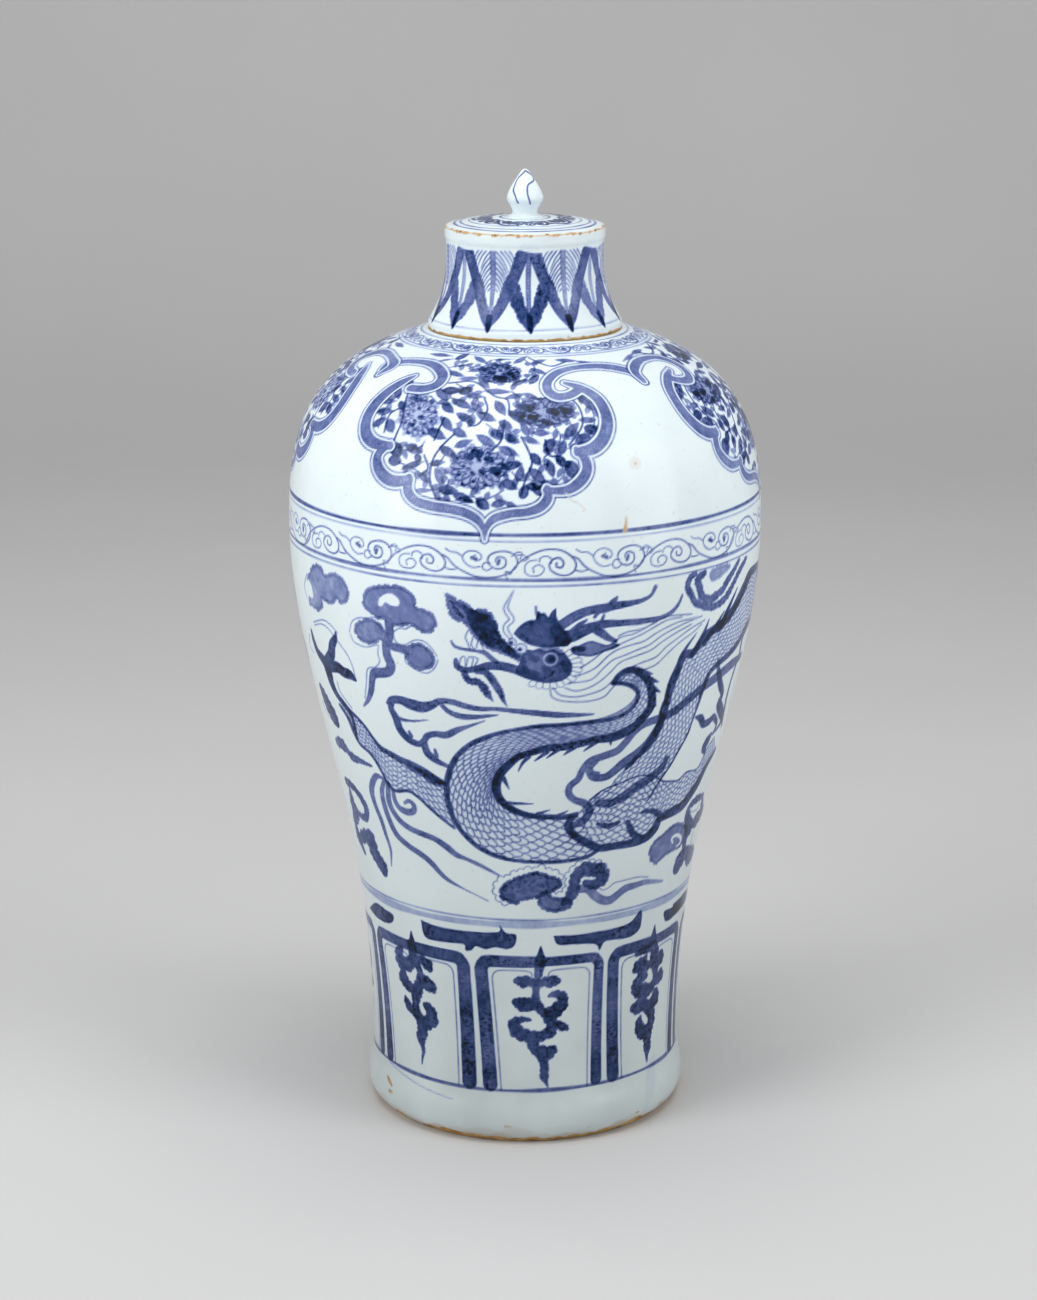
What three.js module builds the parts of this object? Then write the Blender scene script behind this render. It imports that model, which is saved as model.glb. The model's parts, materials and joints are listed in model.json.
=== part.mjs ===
// A covered porcelain vase: a tall body with high shoulders, a narrow waist and a spreading foot,
// and a drum-shaped cover with a pointed bud knob.
// The body is thrown in sections that are joined with slip, and so are the cover's cap, sleeve and knob.
// Sizes are in millimetres, Z points up, and the origin is the middle of the face that the foot stands on.
import * as THREE from "three";

// Outline of the body, outside
const footRadius = 79.4; // the widest place of the foot
const footEdgeHeight = 11; // how high that place lies
const footTaper = 6.4; // how far the foot draws in below it
const waistRadius = 77;
const waistHeight = 30;
const footSweepHeight = 9; // how slowly the foot turns into the waist
const waistReach = 128; // how far up the wall keeps the direction of the waist
const bellyRadius = 115;
const bellyHeight = 298.5;
const bellyReachDown = 83; // how far below the belly the wall keeps upright
const bellyReachUp = 50; // how far above it the wall keeps upright
const seatHeight = 391; // the flat ring at the top of the shoulder, which carries the cover
const shoulderReach = 53; // how far out the top of the shoulder keeps its slope
const shoulderFall = 15; // how far it has dropped there
const seatMargin = 1.2; // the seat shows this far outside the cover

// Walls and floor of the body
const wallBelow = 8.5; // the wall at the foot
const wallAbove = 5; // the wall at the shoulder
const floorHeight = 16; // the inside of the floor, above the standing face
const footRingWidth = 11;
const footRecess = 4; // the base is turned away this deep inside the foot ring
const recessSlope = 3;

// Where the thrown sections meet, as shares of the wall between the waist and the belly
const footJoint = 0.16;
const middleJoint = 0.55;

// Neck and mouth
const mouthRadius = 21;
const neckWall = 5;
const neckHeight = 24;
const lipHeight = 9;
const lipBead = 3;

// Cover
const coverRoom = 5.2; // free room between the lip and the cap's wall
const coverWall = 4.2;
const coverFlare = 8.1; // the rim stands this far outside the drum
const coverHeight = 48.8; // from the rim to the edge of the top
const flareHeight = 30; // the drum starts to spread at this height above the rim
const rimThickness = 3.2;
const topThickness = 5;
const topRise = 3.6; // the top swells this much towards the knob
const edgeRounding = 1.2;
const coverSeatGap = 0.3; // between the resting cover and its seat

// Sleeve inside the cover, which enters the mouth
const sleeveClearance = 1.6; // between the sleeve and the mouth
const sleeveWall = 3.8;
const sleeveEngagement = 16; // how deep the sleeve reaches below the lip

// Knob
const knobFootRadius = 8.2;
const knobFootHeight = 1.2;
const stemRadius = 5.9;
const stemHeight = 2.6;
const budRadius = 8.7;
const budHeight = 9; // where the bud is widest, above the top of the cover
const knobHeight = 22.8;
const tipRadius = 1.4;

// Fineness of the round surfaces
const bodySides = 60;
const coverSides = 48;

const glaze = { color: 0xe4ebef, roughness: 0.16, metalness: 0 };
const bareClay = { color: 0xd8cbb8, roughness: 0.75, metalness: 0 };

function point(radius, height) {
  return new THREE.Vector2(radius, height);
}

// A closed body of revolution about Z from its outline, with radius first and height second.
function turned(name, outline, sides, finish) {
  const geometry = new THREE.LatheGeometry(outline, sides);
  geometry.rotateX(Math.PI / 2);
  const mesh = new THREE.Mesh(geometry, new THREE.MeshStandardMaterial(finish));
  mesh.name = name;
  return mesh;
}

// A ring's outline closes on itself.
function closed(outline) {
  return [...outline, outline[0].clone()];
}

const footEdge = point(footRadius, footEdgeHeight);
const waist = point(waistRadius, waistHeight);
const belly = point(bellyRadius, bellyHeight);
const lipRadius = mouthRadius + neckWall + lipBead;
const coverRadius = lipRadius + coverRoom + coverWall;
const rimRadius = coverRadius + coverFlare;
const seatEdge = point(rimRadius + seatMargin, seatHeight);

const footCurve = new THREE.QuadraticBezierCurve(
  point(footRadius - footTaper, 0),
  point(footRadius, footEdgeHeight * 0.3),
  footEdge,
);
const waistCurve = new THREE.CubicBezierCurve(
  footEdge,
  point(footRadius, footEdgeHeight + footSweepHeight),
  point(waistRadius, waistHeight - footSweepHeight),
  waist,
);
const wallCurve = new THREE.CubicBezierCurve(
  waist,
  point(waistRadius, waistHeight + waistReach),
  point(bellyRadius, bellyHeight - bellyReachDown),
  belly,
);
const shoulderCurve = new THREE.CubicBezierCurve(
  belly,
  point(bellyRadius, bellyHeight + bellyReachUp),
  point(seatEdge.x + shoulderReach, seatHeight - shoulderFall),
  seatEdge,
);

// The wall grows thinner evenly from the waist to the seat.
function wallThickness(height) {
  const share = THREE.MathUtils.clamp((height - waistHeight) / (seatHeight - waistHeight), 0, 1);
  return THREE.MathUtils.lerp(wallBelow, wallAbove, share);
}

// A place on the wall: its point outside and, square to the wall, its point inside.
function station(curve, share) {
  const outside = curve.getPoint(share);
  const along = curve.getTangent(share);
  const thickness = wallThickness(outside.y);
  const inside = point(outside.x - along.y * thickness, outside.y + along.x * thickness);
  return { outside, inside };
}

// Even stations along a stretch of an outline curve. Neighbouring sections share the one where they meet.
function stretch(curve, from, to, steps) {
  const stations = [];
  for (let i = 0; i <= steps; i += 1) {
    stations.push(station(curve, THREE.MathUtils.lerp(from, to, i / steps)));
  }
  return stations;
}

// Up the outside of the stations, and down their inside.
function outsideOf(stations) {
  return stations.map((place) => place.outside.clone());
}

function insideOf(stations) {
  return stations.map((place) => place.inside.clone()).toReversed();
}

// The foot section holds the floor, the foot ring and the first stretch of the wall.
function footSection() {
  const wall = stretch(wallCurve, 0, footJoint, 2).slice(1);
  const ringInside = footRadius - footTaper - footRingWidth;
  const insideRadius = waistRadius - wallBelow;
  const floorCorner = new THREE.QuadraticBezierCurve(
    point(insideRadius, waistHeight),
    point(insideRadius, floorHeight),
    point(insideRadius * 0.7, floorHeight),
  );
  return turned(
    "foot_section",
    [
      point(0, footRecess),
      point(ringInside - recessSlope, footRecess),
      point(ringInside, 0),
      ...footCurve.getPoints(3),
      ...waistCurve.getPoints(4).slice(1),
      ...outsideOf(wall),
      ...insideOf(wall),
      ...floorCorner.getPoints(4),
      point(0, floorHeight),
    ],
    bodySides,
    glaze,
  );
}

function wallSection(name, from, to, steps) {
  const wall = stretch(wallCurve, from, to, steps);
  return turned(name, closed([...outsideOf(wall), ...insideOf(wall)]), bodySides, glaze);
}

// The shoulder section runs from the belly to the seat and in to the root of the neck.
function shoulderSection() {
  const steps = 9;
  const wall = [station(wallCurve, 1), ...stretch(shoulderCurve, 1 / steps, 1, steps - 1)];
  const outline = [
    ...outsideOf(wall),
    point(mouthRadius, seatHeight),
    point(mouthRadius, seatHeight - wallAbove),
    ...insideOf(wall),
  ];
  return turned("shoulder_section", closed(outline), bodySides, glaze);
}

// The short neck stands on the seat and ends in a rolled lip.
function neckRing() {
  const top = seatHeight + neckHeight;
  const neckRadius = mouthRadius + neckWall;
  const lip = new THREE.CubicBezierCurve(
    point(neckRadius, top - lipHeight),
    point(lipRadius + lipBead * 0.4, top - lipHeight),
    point(lipRadius + lipBead * 0.2, top),
    point(mouthRadius + neckWall * 0.6, top),
  );
  const outline = [
    point(mouthRadius, seatHeight),
    point(neckRadius, seatHeight),
    ...lip.getPoints(6),
    point(mouthRadius, top - lipBead * 0.5),
  ];
  return turned("neck_ring", closed(outline), coverSides, glaze);
}

// The cover's own heights are measured from its rim.
const coverUnderside = coverHeight - topThickness;

function drumOutline(inset, foot) {
  const curve = new THREE.CubicBezierCurve(
    point(coverRadius - inset, flareHeight),
    point(coverRadius - inset, flareHeight * 0.5),
    point(rimRadius - inset - coverFlare * 0.35, foot + flareHeight * 0.2),
    point(rimRadius - inset, foot),
  );
  return curve.getPoints(5);
}

function coverCap() {
  const top = coverHeight + topRise;
  return turned(
    "cover_cap",
    [
      point(0, coverUnderside),
      point(coverRadius - coverWall, coverUnderside),
      ...drumOutline(coverWall, 0),
      point(rimRadius, 0),
      ...drumOutline(0, rimThickness).toReversed(),
      point(coverRadius, coverHeight - edgeRounding),
      point(coverRadius - edgeRounding, coverHeight),
      point((coverRadius + knobFootRadius) / 2, coverHeight + topRise * 0.7),
      point(knobFootRadius + edgeRounding, top),
      point(0, top),
    ],
    coverSides,
    glaze,
  );
}

function coverSleeve() {
  const outer = mouthRadius - sleeveClearance;
  const inner = outer - sleeveWall;
  const foot = neckHeight - sleeveEngagement - coverSeatGap;
  const outline = [
    point(outer, foot + edgeRounding),
    point(outer, coverUnderside),
    point(inner, coverUnderside),
    point(inner, foot),
    point(outer - edgeRounding, foot),
  ];
  return turned("cover_sleeve", closed(outline), coverSides, bareClay);
}

function coverKnob() {
  const shape = new THREE.SplineCurve([
    point(knobFootRadius, knobFootHeight * 0.5),
    point((knobFootRadius + stemRadius) / 2, knobFootHeight),
    point(stemRadius, stemHeight),
    point((stemRadius + budRadius) / 2, (stemHeight + budHeight) / 2),
    point(budRadius, budHeight),
    point(budRadius * 0.82, (budHeight * 2 + knobHeight) / 3),
    point(budRadius * 0.4, (budHeight + knobHeight * 3) / 4),
    point(tipRadius, knobHeight - tipRadius * 0.4),
  ]);
  const mesh = turned(
    "cover_knob",
    [point(0, 0), point(knobFootRadius, 0), ...shape.getPoints(14), point(0, knobHeight)],
    coverSides,
    glaze,
  );
  mesh.position.z = coverHeight + topRise;
  return mesh;
}

const body = new THREE.Group();
body.add(
  footSection(),
  wallSection("lower_section", footJoint, middleJoint, 4),
  wallSection("upper_section", middleJoint, 1, 5),
  shoulderSection(),
  neckRing(),
);

const cover = new THREE.Group();
cover.position.z = seatHeight + coverSeatGap;
cover.add(coverCap(), coverSleeve(), coverKnob());

const vase = new THREE.Group();
vase.add(body, cover);

export default vase;
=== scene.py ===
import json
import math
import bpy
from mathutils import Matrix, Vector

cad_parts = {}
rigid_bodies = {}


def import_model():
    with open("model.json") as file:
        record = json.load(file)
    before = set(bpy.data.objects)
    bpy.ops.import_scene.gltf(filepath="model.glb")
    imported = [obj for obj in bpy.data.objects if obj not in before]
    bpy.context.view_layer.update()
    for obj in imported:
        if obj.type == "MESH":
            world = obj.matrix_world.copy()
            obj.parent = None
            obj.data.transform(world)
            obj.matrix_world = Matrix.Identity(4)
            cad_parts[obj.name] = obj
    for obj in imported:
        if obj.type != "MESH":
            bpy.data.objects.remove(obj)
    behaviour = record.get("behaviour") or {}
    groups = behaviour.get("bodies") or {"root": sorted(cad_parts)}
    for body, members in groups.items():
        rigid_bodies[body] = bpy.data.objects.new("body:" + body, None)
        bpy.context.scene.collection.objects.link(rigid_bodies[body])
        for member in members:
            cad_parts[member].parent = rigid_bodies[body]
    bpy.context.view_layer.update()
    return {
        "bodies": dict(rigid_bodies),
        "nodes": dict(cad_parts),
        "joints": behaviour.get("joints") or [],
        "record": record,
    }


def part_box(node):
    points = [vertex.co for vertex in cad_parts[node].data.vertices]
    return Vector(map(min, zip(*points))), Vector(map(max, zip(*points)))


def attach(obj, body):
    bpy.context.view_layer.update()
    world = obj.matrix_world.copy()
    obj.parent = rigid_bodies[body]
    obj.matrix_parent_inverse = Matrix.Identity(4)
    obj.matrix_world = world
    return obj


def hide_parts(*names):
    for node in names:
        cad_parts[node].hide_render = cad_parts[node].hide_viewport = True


bl_info = {
    "name": "Covered Vase",
    "version": (1, 0, 0),
    "blender": (4, 5, 0),
    "location": "3D View > Sidebar > Vase",
    "description": "A tall porcelain vase with a lift-off cover, painted in cobalt blue under a bluish glaze",
    "category": "Object",
}

import bpy
import numpy as np
from bpy.props import FloatProperty, FloatVectorProperty, IntProperty, PointerProperty
from mathutils import Vector

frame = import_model()

MM = 0.001


def corners(node):
    """Lowest and highest corner of a CAD node in millimetres."""
    low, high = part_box(node)
    return low / MM, high / MM


# Sizes in millimetres, from the frame
FOOT_RADIUS = corners("foot_section")[1].x
BELLY_RADIUS = corners("shoulder_section")[1].x
BELLY_HEIGHT = corners("shoulder_section")[0].z
SEAT_HEIGHT = corners("neck_ring")[0].z
LIP_HEIGHT = corners("neck_ring")[1].z
LIP_RADIUS = corners("neck_ring")[1].x
RIM_HEIGHT = corners("cover_cap")[0].z
RIM_RADIUS = corners("cover_cap")[1].x
COVER_TOP = corners("cover_cap")[1].z
SLEEVE_FOOT = corners("cover_sleeve")[0].z
SLEEVE_TOP = corners("cover_sleeve")[1].z
SLEEVE_RADIUS = corners("cover_sleeve")[1].x
KNOB_BASE = corners("cover_knob")[0].z
KNOB_TIP = corners("cover_knob")[1].z
BUD_RADIUS = corners("cover_knob")[1].x

# Sizes in millimetres that the frame's boxes don't show
FOOT_EDGE_HEIGHT = 11
FOOT_TAPER = 6.4
FOOT_RING_WIDTH = 11
FOOT_RECESS = 4
RECESS_SLOPE = 3
FLOOR_HEIGHT = 16
WAIST_RADIUS = 77
WAIST_HEIGHT = 30
FOOT_SWEEP_HEIGHT = 9
WAIST_REACH = 128
BELLY_REACH_DOWN = 83
BELLY_REACH_UP = 50
SHOULDER_REACH = 53
SHOULDER_FALL = 15
SEAT_MARGIN = 1.2
WALL_BELOW = 8.5
WALL_ABOVE = 5
MOUTH_RADIUS = 21
NECK_WALL = 5
LIP_BEAD = 3
LIP_DEPTH = 9
COVER_WALL = 4.2
COVER_FLARE = 8.1
FLARE_HEIGHT = 30
RIM_THICKNESS = 3.2
TOP_THICKNESS = 5
TOP_RISE = 3.6
EDGE_ROUNDING = 1.2
SLEEVE_WALL = 3.8
KNOB_FOOT_RADIUS = 8.2
KNOB_FOOT_HEIGHT = 1.2
STEM_RADIUS = 5.9
STEM_HEIGHT = 2.6
BUD_HEIGHT = 9
TIP_RADIUS = 1.4

KNOB_HEIGHT = KNOB_TIP - KNOB_BASE
KNOB_CELL = 0.35
KNOB_COLUMNS = 180
BODY_BANDS = 10
BAND_NODES = {0: ["foot_section"], 2: ["lower_section"], 6: ["upper_section"], 8: ["shoulder_section"]}

# The stage, in metres and watts
COVE_REACH = 4.0
COVE_BACK = 1.6
COVE_BEND = 0.8
COVE_TOP = 3.5
LIGHT_AIM = 0.22
SOFT_LIGHTS = (
    ("left_softbox", (-1.6, -1.1, 0.9), (1.0, 1.6), 27),
    ("right_softbox", (1.7, -0.9, 0.8), (1.0, 1.6), 19),
    ("overhead", (0.0, -0.2, 2.2), (1.6, 1.6), 25),
)

# Camera in millimetres and photograph pixels
PHOTO_WIDTH = 1037
PHOTO_HEIGHT = 1300
CAMERA_BACK = 1495.0
CAMERA_HEIGHT = 632.4
CAMERA_PITCH = math.radians(15.07)
FOCAL_PIXELS = 3132.0
SENSOR_WIDTH = 36.0
AXIS_COLUMN = 525
# The real vase leans a little: where its middle lies in the photograph, row by row
LEAN_ROWS = (169, 230, 330, 540, 860, 1060, 1137)
LEAN_COLUMNS = (529, 525, 520, 521.5, 528.5, 530.5, 530.5)

# A line of sight looks for the wall from this far before the vase's axis to this far behind it
SIGHT_BEFORE = 180
SIGHT_BEHIND = 60
SIGHT_STEPS = 961

# Brush widths are given in photograph pixels, with this many to a millimetre
PIXELS_PER_MM = 2.1
# Towards the outline a stroke is seen at a slant, so it is painted broader, up to a limit
SLANT_LIMIT = 0.3
SLANT_POWER = 0.6
# Where a rough length along the wall will do, all of it is this far from the axis
TYPICAL_RADIUS = 100.0
SMOOTH_STEP = 1.6
# The same dragon and clouds are painted behind, half a turn round, and then in front
BACK_AND_FRONT = (math.pi, 0.0)


# The wall as a sheet to paint on
def smooth(points, step=SMOOTH_STEP):
    """A smooth line through points of angle and place along, with one about every step of millimetres."""
    points = np.asarray(points, float)
    if len(points) < 3:
        return points
    padded = np.vstack([2 * points[0] - points[1], points, 2 * points[-1] - points[-2]])
    pieces = []
    for a, b, c, d in zip(padded, padded[1:], padded[2:], padded[3:]):
        count = max(2, math.ceil(math.hypot((c - b)[0] * TYPICAL_RADIUS, (c - b)[1]) / step))
        t = (np.arange(count) / count)[:, None]
        bend = 2 * a - 5 * b + 4 * c - d + t * (3 * (b - c) + d - a)
        pieces.append(b + 0.5 * t * (c - a + t * bend))
    pieces.append(points[-1:])
    return np.vstack(pieces)


class Wall:
    """A turned surface as a sheet to paint on, with rows along its outline and columns round it.

    Strokes gather in the layer, and fire moves them into the painting."""

    def __init__(self, outline, cell, columns):
        outline = np.asarray(outline, float)
        length = np.concatenate(([0], np.cumsum(np.hypot(*np.diff(outline, axis=0).T))))
        self.rows = round(length[-1] / cell) + 1
        self.along = np.linspace(0, length[-1], self.rows)
        self.radius = np.interp(self.along, length, outline[:, 0])
        self.height = np.interp(self.along, length, outline[:, 1])
        self.columns = columns
        self.cell = self.along[1]
        self.turn = 2 * math.pi / columns
        self.cobalt = np.zeros((self.rows, columns))
        self.bare = np.zeros((self.rows, columns))
        self.layer = np.zeros((self.rows, columns))
        self.spread = None
        self.turned = 0.0

    def at_height(self, height):
        return float(np.interp(height, self.height, self.along))

    def seen(self, pixels):
        """Angle and place along of photograph points, and their width in millimetres if they have one."""
        pixels = np.atleast_2d(np.asarray(pixels, float))
        right = (pixels[:, 0] - np.interp(pixels[:, 1], LEAN_ROWS, LEAN_COLUMNS)) / FOCAL_PIXELS
        up = (PHOTO_HEIGHT / 2 - pixels[:, 1]) / FOCAL_PIXELS
        cos, sin = math.cos(CAMERA_PITCH), math.sin(CAMERA_PITCH)
        far = np.linspace(CAMERA_BACK - SIGHT_BEFORE, CAMERA_BACK + SIGHT_BEHIND, SIGHT_STEPS)
        x = far * right[:, None]
        y = far * (cos + up * sin)[:, None] - CAMERA_BACK
        z = CAMERA_HEIGHT + far * (up * cos - sin)[:, None]
        out = np.hypot(x, y) - np.interp(z, self.height, self.radius, left=0, right=0)
        first = np.argmax(out < 0, axis=1)
        missed = first == 0
        first[missed] = np.maximum(np.argmin(out[missed], axis=1), 1)
        each = np.arange(len(pixels))
        before, after = out[each, first - 1], out[each, first]
        share = before / np.where(missed, np.inf, before - after)
        x, y, z = (v[each, first - 1] + share * (v[each, first] - v[each, first - 1]) for v in (x, y, z))
        along = np.interp(z, self.height, self.along)
        angle = np.arctan2(x, -y)
        shorter = np.clip(np.cos(angle), SLANT_LIMIT, 1)[:, None] ** SLANT_POWER
        return np.column_stack([angle + self.turned, along, pixels[:, 2:] / PIXELS_PER_MM / shorter])

    def path(self, pixels, step=SMOOTH_STEP):
        """A smooth line through photograph points."""
        return smooth(self.seen(pixels), step)

    def window(self, low, high, reach):
        """The cells within reach of a box of angles and places along, and where they are."""
        bottom = max(0, int((low[1] - reach) / self.cell))
        top = min(self.rows, int((high[1] + reach) / self.cell) + 2)
        rows = np.arange(bottom, top)
        if not len(rows):
            return None
        swing = reach / max(self.radius[rows].min(), 1) + self.turn
        start = math.floor((low[0] - swing + math.pi) / self.turn)
        stop = math.ceil((high[0] + swing + math.pi) / self.turn)
        columns = np.arange(start, min(stop, start + self.columns))
        angle = columns * self.turn - math.pi
        cells = np.ix_(rows, columns % self.columns)
        return cells, angle, self.along[rows, None], self.radius[rows, None]

    def keep(self, cells, cover):
        """Takes a cover into the layer where it is the fuller of the two."""
        self.layer[cells] = np.maximum(self.layer[cells], cover)
        first, last = cells[0][0, 0], cells[0][-1, 0] + 1
        if self.spread:
            first, last = min(first, self.spread[0]), max(last, self.spread[1])
        self.spread = (first, last)

    def lay(self, line, rim=0.0):
        """Adds a brush line of angle, place along and width to the layer. A rim makes its edges darker."""
        for (a0, s0, w0), (a1, s1, w1) in zip(line[:-1], line[1:]):
            low, high = (min(a0, a1), min(s0, s1)), (max(a0, a1), max(s0, s1))
            found = self.window(low, high, max(w0, w1) / 2 + self.cell)
            if found is None:
                continue
            cells, angle, along, radius = found
            away, share = apart(angle, along, radius, a0, s0, a1, s1)
            half = (w0 + share * (w1 - w0)) / 2
            cover = np.clip((half - away) / self.cell + 0.5, 0, 1)
            if rim:
                cover = cover * (1 - rim * (1 - np.clip(away / np.maximum(half, 0.1), 0, 1) ** 3))
            self.keep(cells, cover)

    def lay_area(self, outline, rim=0.0, pool=1.2):
        """Adds the inside of a closed line to the layer. A rim darkens its edges over the pool's width."""
        line = np.asarray(outline, float)[:, :2]
        cells, angle, along, radius = self.window(line.min(axis=0), line.max(axis=0), self.cell)
        inside = np.zeros((len(along), len(angle)), bool)
        nearest = np.full(inside.shape, 1e9)
        for (a0, s0), (a1, s1) in zip(line, np.roll(line, -1, axis=0)):
            if s0 != s1:
                crosses = (along > min(s0, s1)) & (along <= max(s0, s1))
                inside ^= crosses & (angle < a0 + (along - s0) * (a1 - a0) / (s1 - s0))
            nearest = np.minimum(nearest, apart(angle, along, radius, a0, s0, a1, s1)[0])
        depth = nearest * np.where(inside, 1, -1)
        cover = np.clip(depth / self.cell + 0.5, 0, 1)
        self.keep(cells, cover * (1 - rim * np.clip(depth / pool, 0, 1)))

    def fire(self, strength):
        """Moves the layer into the painting: a strength is cobalt, and none wipes the ground clean."""
        if self.spread is None:
            return
        rows = slice(*self.spread)
        if strength:
            self.cobalt[rows] = 1 - (1 - self.cobalt[rows]) * (1 - strength * self.layer[rows])
        else:
            self.cobalt[rows] *= 1 - self.layer[rows]
        self.layer[rows] = 0
        self.spread = None

    def ring(self, along, width, strength, wander=0.3, seed=0):
        """A line all the way round, drawn on the wheel: it wanders and swells a little."""
        angles = np.linspace(-math.pi, math.pi, 181)
        wave = np.sin(angles * 2 + seed) * 0.6 + np.sin(angles * 5 + seed * 2.3) * 0.4
        swell = 1 + 0.18 * np.sin(angles * 7 + seed * 1.7) + 0.12 * np.sin(angles * 13 + seed)
        self.lay(np.column_stack([angles, along + wander * wave, width * swell]), 0.1)
        self.fire(strength)


def apart(angle, along, radius, a0, s0, a1, s1):
    """Distance of cells from a straight stretch, and how far along it the nearest place lies."""
    ex = (a1 - a0) * radius
    ey = s1 - s0
    px = (angle - a0) * radius
    py = along - s0
    share = np.clip((px * ex + py * ey) / (ex * ex + ey * ey + 1e-9), 0, 1)
    return np.hypot(px - share * ex, py - share * ey), share


def beside(line, wall, away):
    """The line shifted sideways, to its left where away is positive."""
    line = np.array(line, float)
    radius = np.interp(line[:, 1], wall.along, wall.radius)
    across = np.gradient(line[:, 0]) * radius
    up = np.gradient(line[:, 1])
    size = np.hypot(across, up) + 1e-9
    line[:, 0] -= away * up / size / radius
    line[:, 1] += away * across / size
    return line


def even(path, width):
    """A path with one width all along."""
    return np.column_stack([path[:, :2], np.full(len(path), width)])


def bezier(*handles, count=90):
    t = np.linspace(0, 1, count)[:, None]
    points = [np.array(h, float) for h in handles]
    while len(points) > 1:
        points = [a + t * (b - a) for a, b in zip(points, points[1:])]
    return points[0]


# Outlines, with radius first and height second
WAIST = (WAIST_RADIUS, WAIST_HEIGHT)
BELLY = (BELLY_RADIUS, BELLY_HEIGHT)
FOOT_EDGE = (FOOT_RADIUS, FOOT_EDGE_HEIGHT)
SEAT_EDGE = (RIM_RADIUS + SEAT_MARGIN, SEAT_HEIGHT)
NECK_RADIUS = MOUTH_RADIUS + NECK_WALL
DRUM_RADIUS = RIM_RADIUS - COVER_FLARE
COVER_EDGE = COVER_TOP - TOP_RISE
# Under its top edge the cover draws in a little
BAND_FOOT = COVER_EDGE - 6.4
BAND_STEP = 0.6


def smoothstep(value, low, high):
    share = np.clip((value - low) / (high - low), 0, 1)
    return share * share * (3 - 2 * share)


def body_outline():
    """The outside of the body from the standing face to the root of the neck."""
    foot = bezier((FOOT_RADIUS - FOOT_TAPER, 0), (FOOT_RADIUS, FOOT_EDGE_HEIGHT * 0.3), FOOT_EDGE)
    low = bezier(
        FOOT_EDGE,
        (FOOT_RADIUS, FOOT_EDGE_HEIGHT + FOOT_SWEEP_HEIGHT),
        (WAIST_RADIUS, WAIST_HEIGHT - FOOT_SWEEP_HEIGHT),
        WAIST,
    )
    wall = bezier(
        WAIST,
        (WAIST_RADIUS, WAIST_HEIGHT + WAIST_REACH),
        (BELLY_RADIUS, BELLY_HEIGHT - BELLY_REACH_DOWN),
        BELLY,
    )
    shoulder = bezier(
        BELLY,
        (BELLY_RADIUS, BELLY_HEIGHT + BELLY_REACH_UP),
        (SEAT_EDGE[0] + SHOULDER_REACH, SEAT_HEIGHT - SHOULDER_FALL),
        SEAT_EDGE,
    )
    return np.vstack([foot, low[1:], wall[1:], shoulder[1:], [(NECK_RADIUS, SEAT_HEIGHT + MM)]])


def drum_side(inset, foot, count=90):
    """The cover's spreading side from its foot up to where it stands straight, moved inwards by an inset."""
    return bezier(
        (RIM_RADIUS - inset, foot),
        (RIM_RADIUS - inset - COVER_FLARE * 0.35, foot + FLARE_HEIGHT * 0.2),
        (DRUM_RADIUS - inset, RIM_HEIGHT + FLARE_HEIGHT / 2),
        (DRUM_RADIUS - inset, RIM_HEIGHT + FLARE_HEIGHT),
        count=count,
    )


def cover_outline():
    """The outside of the cover from its rim up the side and across the top to the knob."""
    rim = RIM_HEIGHT + RIM_THICKNESS
    flare = drum_side(0, rim)
    flare[:, 0] -= BAND_STEP * smoothstep(flare[:, 1], rim + FLARE_HEIGHT * 0.5, RIM_HEIGHT + FLARE_HEIGHT)
    step = [
        (DRUM_RADIUS - BAND_STEP, BAND_FOOT),
        (DRUM_RADIUS - BAND_STEP * 0.2, BAND_FOOT + 0.9),
        (DRUM_RADIUS, BAND_FOOT + 2),
    ]
    corner = (DRUM_RADIUS - EDGE_ROUNDING, COVER_EDGE)
    edge = bezier((DRUM_RADIUS, COVER_EDGE - EDGE_ROUNDING), (DRUM_RADIUS, COVER_EDGE), corner, count=8)
    swell = ((DRUM_RADIUS + KNOB_FOOT_RADIUS) / 2, COVER_TOP)
    top = bezier(corner, swell, (KNOB_FOOT_RADIUS, COVER_TOP), count=20)
    return np.vstack([[(RIM_RADIUS, RIM_HEIGHT)], flare, step, edge, top[1:], [(0.3, COVER_TOP + MM)]])


def knob_outline():
    """The outside of the knob, from its foot to its tip."""
    turns = (
        (KNOB_FOOT_RADIUS, 0),
        (KNOB_FOOT_RADIUS, KNOB_FOOT_HEIGHT * 0.5),
        ((KNOB_FOOT_RADIUS + STEM_RADIUS) / 2, KNOB_FOOT_HEIGHT),
        (STEM_RADIUS, STEM_HEIGHT),
        ((STEM_RADIUS + BUD_RADIUS) / 2, (STEM_HEIGHT + BUD_HEIGHT) / 2),
        (BUD_RADIUS, BUD_HEIGHT),
        (BUD_RADIUS * 0.82, (BUD_HEIGHT * 2 + KNOB_HEIGHT) / 3),
        (BUD_RADIUS * 0.4, (BUD_HEIGHT + KNOB_HEIGHT * 3) / 4),
        (TIP_RADIUS, KNOB_HEIGHT - TIP_RADIUS * 0.4),
        (0.2, KNOB_HEIGHT),
    )
    line = smooth(np.array(turns) / (TYPICAL_RADIUS, 1), 0.4) * (TYPICAL_RADIUS, 1)
    return line + (0, KNOB_BASE)


def wall_thickness(height):
    return np.interp(height, (WAIST_HEIGHT, SEAT_HEIGHT), (WALL_BELOW, WALL_ABOVE))


def inner_wall(outside, steps=5):
    """The inside of a stretch of wall, from its top down."""
    place = np.linspace(len(outside) - 1, 0, steps).astype(int)
    slope = np.gradient(outside, axis=0)[place]
    slope /= np.hypot(*slope.T)[:, None]
    thick = wall_thickness(outside[place, 1])[:, None]
    return outside[place] + np.column_stack([-slope[:, 1], slope[:, 0]]) * thick


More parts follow.
